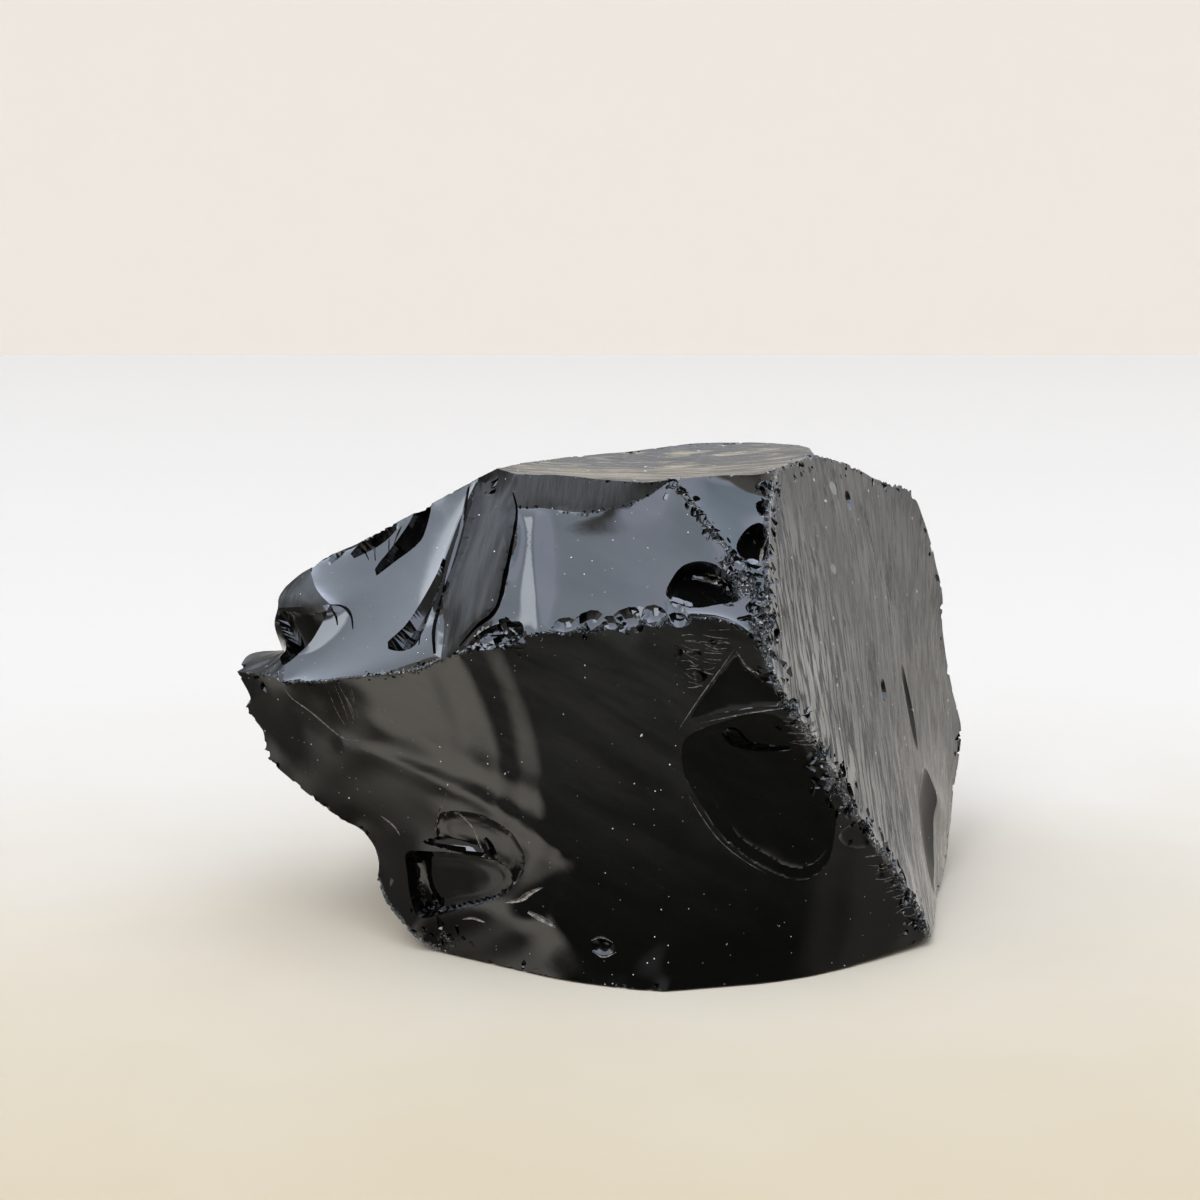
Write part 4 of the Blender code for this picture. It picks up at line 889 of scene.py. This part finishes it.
def groove(surface, line, width, depth):
    """A cutter like a long blade that follows a line on the face and thins out at its ends."""
    path = evenly(smooth_curve([Vector(p) for p in line]), max(GROOVE_STEP[0], width * GROOVE_STEP[1]))
    placed = [on_front(surface, p.x, p.y) for p in path]
    cutter = bmesh.new()
    rings = []
    for i, (place, normal) in enumerate(placed):
        ahead = placed[min(i + 1, len(placed) - 1)][0] - placed[max(i - 1, 0)][0]
        side = ahead.cross(normal).normalized()
        taper = max(GROOVE_END, math.sin(math.pi * (i + 0.5) / len(placed))) ** 0.5
        taper *= 1 + GROOVE_WOBBLE * noise.noise(place * GROOVE_BENDS)
        corners = [
            place + side * width * 0.5 * taper + normal * GROOVE_LIP,
            place - normal * depth * taper,
            place - side * width * 0.5 * taper + normal * GROOVE_LIP,
            place + normal * (depth + GROOVE_LID),
        ]
        rings.append([cutter.verts.new(to_scene(corner)) for corner in corners])
    for one, two in zip(rings, rings[1:]):
        join_rings(cutter, one, two)
    cutter.faces.new(rings[0][::-1])
    cutter.faces.new(rings[-1])
    return cutter


def hackle_lines(starts, ends, count, rng):
    """Lines from places along one line to places along another, a little uneven."""
    lines = []
    for i in range(count):
        t = (i + 0.5) / count
        a = Vector(starts[0]).lerp(Vector(starts[1]), t) + Vector(rng.normal(0, HACKLE_SCATTER, 2))
        b = Vector(ends[0]).lerp(Vector(ends[1]), t) + Vector(rng.normal(0, HACKLE_SCATTER, 2))
        bow = Vector(rng.normal(0, HACKLE_BOW, 2))
        cut_short = rng.uniform(0.0, HACKLE_CUT)
        lines.append([a.lerp(b, cut_short), a.lerp(b, 0.5 + cut_short / 2) + bow, b])
    return lines


def outward(surface, place):
    """The mean of the outward normals near a place."""
    near = surface.find_nearest_range(to_scene(place), NORMAL_REACH * MM)
    total = sum((normal for _, normal, _, _ in near), Vector((0, 0, 0)))
    return total.normalized()


def chip(place, size, rng):
    """An angular lump: the hull of a few points about the place."""
    directions = rng.normal(size=(CHIP_POINTS, 3))
    directions /= np.linalg.norm(directions, axis=1, keepdims=True)
    stretch = rng.uniform(*CHIP_STRETCH, 3) * size
    cutter = bmesh.new()
    points = [cutter.verts.new(to_scene(place + Vector(way * stretch))) for way in directions]
    hull = bmesh.ops.convex_hull(cutter, input=points)
    bmesh.ops.delete(cutter, geom=hull["geom_interior"], context="VERTS")
    return cutter


def hackle_cutters(surface, sets, rng):
    """The cutters of some sets of hackles."""
    cutters = []
    for starts, ends, count, width, depth in sets:
        for line in hackle_lines(starts, ends, count, rng):
            cutters.append(groove(surface, line, width * rng.uniform(*HACKLE_WIDTHS), depth))
    return cutters


def scar_cutters(surface):
    """The cutters of the broad smooth scars."""
    inner_lip = [Vector(GREAT_PIVOT).lerp(Vector(p), GREAT_LIP) for p in GREAT_SCAR]
    cutters = [bowl(surface, *values) for values in BOWLS]
    cutters += [patch(surface, *values) for values in PATCHES]
    return [*cutters, patch(surface, inner_lip, *GREAT_FLOOR)]


def crack_cutters(surface, rng):
    """The cutters of the pale cracks and scratches."""
    return [groove(surface, *values) for values in CRACKS] + hackle_cutters(surface, CRACK_SETS, rng)


def wear_cutters(surface, arrises, rng):
    """The cutters of the dark scars and grooves, and of the small damage to arrises and crushed places."""
    cutters = [patch(surface, *values) for values in DARK_PATCHES]
    cutters += [groove(surface, *values) for values in GROOVES] + hackle_cutters(surface, HACKLES, rng)
    for start, end, _, reach, density, size in WEAR:
        path = arrises[start, end]
        for _ in range(round(density * len(path) * ARRIS_SPACING)):
            wanted = path[rng.integers(len(path))] + Vector(rng.normal(size=3)) * reach
            place, _ = nearest(surface, wanted)
            own_size = size * rng.uniform(*WEAR_SIZE)
            cutters.append(chip(place + outward(surface, place) * own_size * CHIP_STAND, own_size, rng))
    for middle, spread, _, count in CRUSHED:
        for _ in range(count):
            wanted = Vector(middle) + Vector(rng.normal(size=3)) * spread * CRUSHED_SPREAD
            place, normal = nearest(surface, wanted)
            size = rng.uniform(*CHIP_SIZE)
            cutters.append(chip(place + normal * size * CHIP_STAND, size, rng))
    return cutters


def batches(cutters):
    """The cutters joined in a few meshes, none of which holds two that overlap."""
    groups = []
    for cutter in cutters:
        places = np.array([vert.co for vert in cutter.verts])
        low, high = places.min(axis=0), places.max(axis=0)
        for group in groups:
            if all((low > top).any() or (high < bottom).any() for bottom, top in group["boxes"]):
                break
        else:
            group = {"boxes": [], "mesh": bmesh.new()}
            groups.append(group)
        group["boxes"].append((low, high))
        bmesh.ops.triangulate(cutter, faces=cutter.faces)
        bmesh.ops.recalc_face_normals(cutter, faces=cutter.faces)
        piece = bpy.data.meshes.new("cutter")
        cutter.to_mesh(piece)
        cutter.free()
        group["mesh"].from_mesh(piece)
        bpy.data.meshes.remove(piece)
    return [group["mesh"] for group in groups]


def new_object(name, made, materials):
    """An object of this name from the bmesh, in the scene."""
    mesh = bpy.data.meshes.new(name)
    made.to_mesh(mesh)
    made.free()
    for material in materials:
        mesh.materials.append(material)
    thing = bpy.data.objects.new(name, mesh)
    bpy.context.scene.collection.objects.link(thing)
    return thing


def cut_away(stone, make_cutters, part):
    """Makes cutters on the stone's surface and cuts them out. The new faces get the part's material."""
    skin = bmesh.new()
    skin.from_mesh(stone.data)
    surface = BVHTree.FromBMesh(skin)
    skin.free()
    tools = []
    for made in batches(make_cutters(surface)):
        for face in made.faces:
            face.material_index = part
        tool = new_object("cutter", made, stone.data.materials)
        cut = stone.modifiers.new("cut", "BOOLEAN")
        cut.operation = "DIFFERENCE"
        cut.solver = "MANIFOLD"
        cut.object = tool
        tools.append(tool)
    cut_mesh = bpy.data.meshes.new_from_object(stone.evaluated_get(bpy.context.evaluated_depsgraph_get()))
    stone.modifiers.clear()
    for tool in tools:
        bpy.data.objects.remove(tool)
    old = stone.data
    stone.data = cut_mesh
    bpy.data.meshes.remove(old)


def crush_of(points, arrises):
    """How crushed the glass is at each point, from 0 to 1: it is worst at the worn arrises."""
    found = np.zeros(len(points))
    for start, end, crushed, reach, _, _ in WEAR:
        path = arrises[start, end]
        tree = KDTree(len(path))
        for i, place in enumerate(path):
            tree.insert(place, i)
        tree.balance()
        gaps = np.array([tree.find(Vector(p))[2] for p in points])
        found = np.maximum(found, crushed * np.exp(-((gaps / reach) ** 2)))
    for middle, spread, crushed, _ in CRUSHED:
        gaps = np.linalg.norm(points - np.array(middle), axis=1)
        found = np.maximum(found, crushed * np.exp(-((gaps / spread) ** 2)))
    return found


def drop_crumbs(body):
    """Removes every loose part of the mesh but the largest."""
    left = set(body.verts)
    parts = []
    while left:
        edge_of_part = [left.pop()]
        part = list(edge_of_part)
        while edge_of_part:
            vert = edge_of_part.pop()
            for other in {edge.other_vert(vert) for edge in vert.link_edges} & left:
                left.remove(other)
                edge_of_part.append(other)
                part.append(other)
        parts.append(part)
    parts.sort(key=len)
    bmesh.ops.delete(body, geom=[vert for part in parts[:-1] for vert in part], context="VERTS")


def finish_mesh(stone, arrises):
    """Drops crumbs, keeps the surface in the solid's box, marks sharp edges and stores how crushed it is."""
    body = bmesh.new()
    body.from_mesh(stone.data)
    bmesh.ops.triangulate(body, faces=body.faces)
    drop_crumbs(body)
    low, high = cad_box
    for vert in body.verts:
        vert.co = Vector(min(max(c, a), b) for c, a, b in zip(vert.co, low, high))
    body.normal_update()
    for face in body.faces:
        face.smooth = True
    for edge in body.edges:
        if len(edge.link_faces) != 2:
            continue
        one, two = edge.link_faces
        cut_rim = (one.material_index in UNCUT_PARTS) != (two.material_index in UNCUT_PARTS)
        angle = edge.calc_face_angle(0.0)
        edge.smooth = angle < math.radians(RIM_ANGLE if cut_rim else SHARP_ANGLE)
    body.to_mesh(stone.data)
    body.free()
    places = np.empty(len(stone.data.vertices) * 3)
    stone.data.vertices.foreach_get("co", places)
    places = places.reshape(-1, 3) / MM + np.array(MIDDLE)
    crush = stone.data.attributes.new("crush", "FLOAT", "POINT")
    crush.data.foreach_set("value", crush_of(places, arrises).astype(np.float32))


def link(tree, socket, value):
    """Sets a node's input: an output is linked, a colour gets its fourth number, another value is stored."""
    if isinstance(value, bpy.types.NodeSocket):
        tree.links.new(value, socket)
    elif socket.type == "RGBA":
        socket.default_value = (*value, 1.0)
    else:
        socket.default_value = value


def node(tree, kind, inputs, **settings):
    """The outputs of a new node with these settings, and with these inputs by name or number."""
    made = tree.nodes.new("ShaderNode" + kind)
    for setting, value in settings.items():
        setattr(made, setting, value)
    for key, value in inputs.items():
        link(tree, made.inputs[key], value)
    return made.outputs


def calculate(tree, operation, *values):
    """The output of a Math node."""
    return node(tree, "Math", dict(enumerate(values)), operation=operation)[0]


def total(tree, first, *others):
    """All the values added together."""
    for other in others:
        first = calculate(tree, "ADD", first, other)
    return first


def product(tree, first, *others):
    """All the values multiplied together."""
    for other in others:
        first = calculate(tree, "MULTIPLY", first, other)
    return first


def ramp(tree, value, low, high, low_result=0.0, high_result=1.0):
    """The value moved softly from one range to another, and held at its ends."""
    inputs = dict(enumerate((value, low, high, low_result, high_result)))
    return node(tree, "MapRange", inputs, interpolation_type="SMOOTHSTEP")[0]


def mixed(tree, share, one, two):
    """The colour between two colours."""
    return node(tree, "Mix", {"Factor": share, "A": one, "B": two}, data_type="RGBA")["Result"]


def along(tree, vector, direction):
    """How far a vector goes in a direction."""
    return node(tree, "VectorMath", {0: vector, 1: direction}, operation="DOT_PRODUCT")["Value"]


def noise_of(tree, vector, scale, detail=2.0, rough=0.5, distortion=0.0):
    """The value of a Noise Texture node."""
    looks = {"Scale": scale, "Detail": detail, "Roughness": rough, "Distortion": distortion}
    return node(tree, "TexNoise", {"Vector": vector, **looks})[0]


def in_millimetres(tree):
    """The place on the stone, in millimetres."""
    place = node(tree, "TexCoord", {})["Object"]
    return node(tree, "VectorMath", {0: place, "Scale": 1 / MM}, operation="SCALE")[0]


def grained(tree, place, grain, length, width, through=None):
    """The place, squeezed so that noise on it is long along the grain and short across it.

    On the right side and the top the third way goes into the stone: "through" is the noise's size along it.
    """
    into = ACROSS_WAY.cross(grain).normalized()
    ways = (grain.normalized(), into, grain.normalized().cross(into))
    sizes = (length, through or width, width)
    reaches = [calculate(tree, "DIVIDE", along(tree, place, way), size) for way, size in zip(ways, sizes)]
    return node(tree, "CombineXYZ", dict(enumerate(reaches)))[0]


def specks(tree, place, spacing, radius):
    """1 in small round specks, and 0 between them. Most cells of the grid have none."""
    cells = node(tree, "TexVoronoi", {"Vector": place, "Scale": 1 / spacing})
    chance = node(tree, "SeparateColor", {0: cells["Color"]})[0]
    size = ramp(tree, chance, 0.35, 1.0, 0.0, radius / spacing)
    return ramp(tree, calculate(tree, "SUBTRACT", size, cells["Distance"]), 0.0, 0.03)


def bump(tree, height):
    """A normal bent by a height in millimetres."""
    return node(tree, "Bump", {"Distance": MM, "Height": height})[0]


def crushing(tree, place, scale, low, high):
    """Where the glass is crushed: the stored share, broken up by noise."""
    crush = node(tree, "Attribute", {}, attribute_name="crush")["Fac"]
    grit = calculate(tree, "SUBTRACT", noise_of(tree, place, scale, 3.0, 0.65), 0.5)
    return ramp(tree, total(tree, crush, grit), low, high)


def new_material(name):
    """An empty material and its tree."""
    material = bpy.data.materials.new(name)
    material.use_nodes = True
    return material, material.node_tree


def set_shader(tree, values):
    """Sets the inputs of the material's shader, by name."""
    for name, value in values.items():
        link(tree, tree.nodes["Principled BSDF"].inputs[name], value)


def glass(name, waves, dust, haze):
    """Jet-black bright glass: fine waves, dust and smudges with painted shade low down and on the wing, and
    powder where it is crushed.
    """
    material, tree = new_material(name)
    place = in_millimetres(tree)
    crushed = crushing(tree, place, 4.0, 0.55, 0.85)
    powder = product(tree, crushed, ramp(tree, noise_of(tree, place, 3.4, 4.0, 0.7, 0.8), 0.54, 0.62))

    clusters = ramp(tree, noise_of(tree, place, 0.16, 2.0), 0.46, 0.66, 0.15, 1.0)
    fine = product(tree, specks(tree, place, 0.65, 0.085 * dust), clusters)
    coarse = specks(tree, grained(tree, place, SPECK_WAY, 1.6, 0.8), 3.4, 0.15 * dust)
    dusty = calculate(tree, "MAXIMUM", fine, coarse)

    # A thin haze of dust lies on the glass. Its fading low down and on the wing is painted shade: the glass
    # is darker towards the bottom and at the wing.
    streaks = noise_of(tree, grained(tree, place, HAZE_WAY, 14.0, 2.4), 1.0, 5.0, 0.6)
    smudge = ramp(tree, streaks, 0.30, 0.75, 0.45, 1.1)
    wing = ramp(tree, along(tree, place, RIGHTWARD), -33.0, -25.0, 0.35, 1.0)
    high = ramp(tree, along(tree, place, UP), 2.0, 26.0, 0.05, 1.0)
    colour = mixed(tree, product(tree, wing, high, smudge), CLEAN_GLASS, [c * haze for c in HAZE])
    colour = mixed(tree, powder, colour, POWDER)
    colour = mixed(tree, dusty, colour, DUST)

    marks = [product(tree, share, rough) for share, rough in ((smudge, 0.02), (powder, 0.3), (dusty, 0.5))]
    rough = total(tree, GLASS_ROUGHNESS, *marks)
    slow = product(tree, noise_of(tree, place, 0.5, 2.0), waves)
    broken = product(tree, noise_of(tree, place, 2.6, 4.0, 0.7), crushed, 0.35)
    normal = bump(tree, total(tree, slow, broken, product(tree, dusty, 0.02)))
    set_shader(tree, {"Base Color": colour, "Roughness": rough, "IOR": GLASS_IOR, "Normal": normal})
    return material


def mist(name):
    """Glass with a fine mist of tiny cracks, drawn out in lines, that hides nearly all that it mirrors."""
    material, tree = new_material(name)
    place = in_millimetres(tree)
    lines = noise_of(tree, grained(tree, place, MIST_WAY, 6.0, 0.45), 1.0, 3.0, 0.6)
    dusty = calculate(tree, "MAXIMUM", specks(tree, place, 0.9, 0.10), specks(tree, place, 3.1, 0.2))
    colour = mixed(tree, dusty, mixed(tree, ramp(tree, lines, 0.3, 0.7), *MIST_COLOURS), DUST)
    normal = bump(tree, product(tree, lines, 0.04))
    shine = {"Roughness": 0.30, "IOR": GLASS_IOR, "Specular IOR Level": 0.12}
    set_shader(tree, {"Base Color": colour, "Normal": normal, **shine})
    return material


def satin(name):
    """Dull glass, torn in fine fibres along the grain, with glints of sheen painted into its pale fibres and
    a painted sheen low on the right side.
    """
    material, tree = new_material(name)
    place = in_millimetres(tree)
    backward = along(tree, place, BACKWARD)

    # 1 on the top and 0 on the sides: the fibres run up the sides and along the top, a little bent.
    level = ramp(tree, along(tree, node(tree, "NewGeometry", {})["True Normal"], UP), 0.55, 0.8)
    fibres = noise_of(tree, grained(tree, place, FIBRE_WAY, 9.0, 0.75, 9.0), 1.0, 3.0, 0.55, 0.3)
    hairs = noise_of(tree, grained(tree, place, FIBRE_WAY, 4.0, 0.26, 4.0), 1.0, 2.0, 0.5, 0.3)
    streaks = noise_of(tree, grained(tree, place, FIBRE_WAY, 9.0, 1.8, 9.0), 1.0, 3.0, 0.6, 0.4)
    layers = noise_of(tree, grained(tree, place, TOP_WAY, 7.0, 0.9, 6.0), 1.0, 3.0, 0.62, 0.6)
    breaks = noise_of(tree, grained(tree, place, TOP_WAY, 5.0, 1.6), 1.0, 3.0, 0.6)
    patches = noise_of(tree, place, 0.10, 3.0, 0.6)

    # Pale fibres lie over darker glass, most of all near the front: on the sides they are partly the glass's
    # torn fibres and partly painted glints of sheen. The top is warmer.
    near = calculate(tree, "MAXIMUM", ramp(tree, backward, -13.0, 0.0, 1.0, 0.18), level)
    crease = calculate(tree, "ABSOLUTE", calculate(tree, "SUBTRACT", fibres, 0.5))
    ridges = ramp(tree, crease, 0.0, 0.07)
    side_torn = product(tree, ridges, ramp(tree, patches, 0.3, 0.7, 0.45, 1.0))
    top_torn = ramp(tree, total(tree, layers, product(tree, patches, 0.25)), 0.50, 0.78)
    torn = mixed(tree, level, side_torn, top_torn)
    pale, deep, far = [mixed(tree, level, *pair) for pair in (PALE_FIBRES_AND_SHEEN, DEEP_FIBRES, FAR_FIBRES)]
    colour = mixed(tree, near, far, mixed(tree, torn, deep, pale))

    # Each cover hides the ones before it where its share is 1.
    dark = product(tree, ramp(tree, streaks, 0.55, 0.63), ramp(tree, near, 0.3, 0.8, 1.0, 0.2))
    # Painted sheen: low on the right side the colour turns pale.
    foot = ramp(tree, along(tree, place, UP), 9.0, 21.0, 0.4, 0.0)
    low = product(tree, foot, ramp(tree, patches, 0.35, 0.6))
    broken = product(tree, ramp(tree, backward, 0.0, 7.0), level, ramp(tree, breaks, 0.42, 0.50))
    drops = product(tree, specks(tree, place, 4.4, 0.8), ramp(tree, near, 0.25, 0.6, 0.4, 0.0))
    crushed = crushing(tree, place, 3.6, 0.35, 0.75)
    covers = [
        (product(tree, dark, 0.75), DARK_STREAKS),
        (low, LOW_PAINTED_SHEEN),
        (broken, DARK_PATCHES_ABOVE),
        (drops, DROPS),
        (product(tree, specks(tree, place, 1.4, 0.2), 0.7), BITS),
        (product(tree, crushed, 0.5), CRUSHED_FIBRES),
    ]
    for share, cover in covers:
        colour = mixed(tree, share, colour, cover)

    rough = mixed(tree, dark, ramp(tree, hairs, 0.3, 0.7, 0.24, 0.45), STREAK_ROUGHNESS)
    torn_height = product(tree, mixed(tree, level, ridges, layers), product(tree, near, 0.22))
    hair_height = product(tree, hairs, product(tree, near, 0.07))
    normal = bump(tree, total(tree, torn_height, hair_height, product(tree, crushed, 0.12)))
    shine = {"Roughness": rough, "IOR": GLASS_IOR, "Specular IOR Level": 0.25}
    set_shader(tree, {"Base Color": colour, "Normal": normal, **shine})
    return material


def crack(name):
    """Pale crushed glass."""
    material, tree = new_material(name)
    grit = ramp(tree, noise_of(tree, in_millimetres(tree), 3.0, 3.0, 0.7), 0.35, 0.65)
    set_shader(tree, {"Base Color": mixed(tree, grit, *CRACK_COLOURS), "Roughness": 0.6})
    return material


def make_stone():
    """The whole stone, with its fine surface."""
    arrises = arris_points()
    materials = [
        glass("obsidian_glass", waves=0.010, dust=1.0, haze=1.0),
        satin("obsidian_satin"),
        mist("obsidian_mist"),
        glass("obsidian_scar", waves=0.004, dust=0.6, haze=0.35),
        glass("obsidian_chip", waves=0.02, dust=0.3, haze=0.1),
        crack("obsidian_crack"),
    ]
    stone = new_object("obsidian_stone", body_mesh(arrises), materials)
    rng = np.random.default_rng(SEED)
    cut_away(stone, scar_cutters, SCAR_PART)
    cut_away(stone, lambda surface: wear_cutters(surface, arrises, rng), CHIP_PART)
    cut_away(stone, lambda surface: crack_cutters(surface, rng), CRACK_PART)
    finish_mesh(stone, arrises)
    return stone


def cone(tree, direction, inner, outer):
    """1 within the inner angle from a direction of the sky, falling to 0 at the outer one, in degrees."""
    ray = tree.nodes["sky direction"].outputs["Generated"]
    reach = along(tree, ray, Vector(direction).normalized())
    return ramp(tree, reach, math.cos(math.radians(outer)), math.cos(math.radians(inner)))


def window(tree, left_right, near_far, soft):
    """1 in a rectangle of a flat ceiling 1 unit above the stone, and 0 outside it."""
    ray = tree.nodes["sky direction"].outputs["Generated"]
    height = calculate(tree, "MAXIMUM", along(tree, ray, UP), LEAST_HEIGHT)
    sides = []
    for way, (low, high) in ((RIGHTWARD, left_right), (BACKWARD, near_far)):
        at = calculate(tree, "DIVIDE", along(tree, ray, way), height)
        rise = ramp(tree, at, low - soft, low + soft)
        fall = ramp(tree, at, high - soft, high + soft, 1.0, 0.0)
        sides.append(product(tree, rise, fall))
    return product(tree, *sides)


def make_sky():
    """A soft studio: a pale room, a broad cool light overhead and a dark gap behind the viewer."""
    world = bpy.data.worlds.new("studio")
    bpy.context.scene.world = world
    world.use_nodes = True
    tree = world.node_tree
    tree.nodes.new("ShaderNodeTexCoord").name = "sky direction"
    light = ROOM
    for direction, inner, outer, colour in SKY_CONES:
        light = mixed(tree, cone(tree, direction, inner, outer), light, colour)
    for left_right, near_far, soft, colour in SKY_WINDOWS:
        light = mixed(tree, window(tree, left_right, near_far, soft), light, colour)
    link(tree, tree.nodes["Background"].inputs["Color"], light)


def plain_sheet(name, corners, near, far):
    """A flat pale surface of the studio, whose colour turns from one to the other away from the camera."""
    mesh = bpy.data.meshes.new(name)
    mesh.from_pydata(corners, [], [range(len(corners))])
    material, tree = new_material(name)
    place = in_millimetres(tree)
    tint = product(tree, noise_of(tree, place, FLOOR_CLOUDS, 3.0, 0.6), FLOOR_TINT)
    away = total(tree, along(tree, place, BACKWARD), tint)
    colour = mixed(tree, ramp(tree, away, *FLOOR_TURN), near, far)
    set_shader(tree, {"Base Color": colour, "Roughness": 0.85, "Specular IOR Level": 0.2})
    mesh.materials.append(material)
    sheet = bpy.data.objects.new(name, mesh)
    # The bright glass mirrors the studio's light alone.
    sheet.visible_glossy = False
    bpy.context.scene.collection.objects.link(sheet)


def make_camera():
    """The camera, in front of the stone and a little above it."""
    camera = bpy.data.cameras.new("camera")
    camera.sensor_width = CAMERA_SENSOR
    camera.lens = CAMERA_LENS
    camera.clip_start = 0.005
    holder = bpy.data.objects.new("camera", camera)
    holder.location = CAMERA_PLACE * MM
    holder.rotation_euler = (math.radians(90.0 - CAMERA_PITCH), 0.0, 0.0)
    bpy.context.scene.collection.objects.link(holder)
    bpy.context.scene.camera = holder


stone = make_stone()
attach(stone, "root")
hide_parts(NODE)
make_sky()
left, right, near, top = STUDIO
fold = [(left, WALL_PLACE, 0), (right, WALL_PLACE, 0)]
plain_sheet("floor", [(left, near, 0), (right, near, 0), *fold[::-1]], NEAR_FLOOR, FAR_FLOOR)
plain_sheet("wall", [*fold, (right, WALL_PLACE, top), (left, WALL_PLACE, top)], WALL_COLOUR, WALL_COLOUR)
make_camera()
bpy.context.scene.view_settings.view_transform = "Standard"
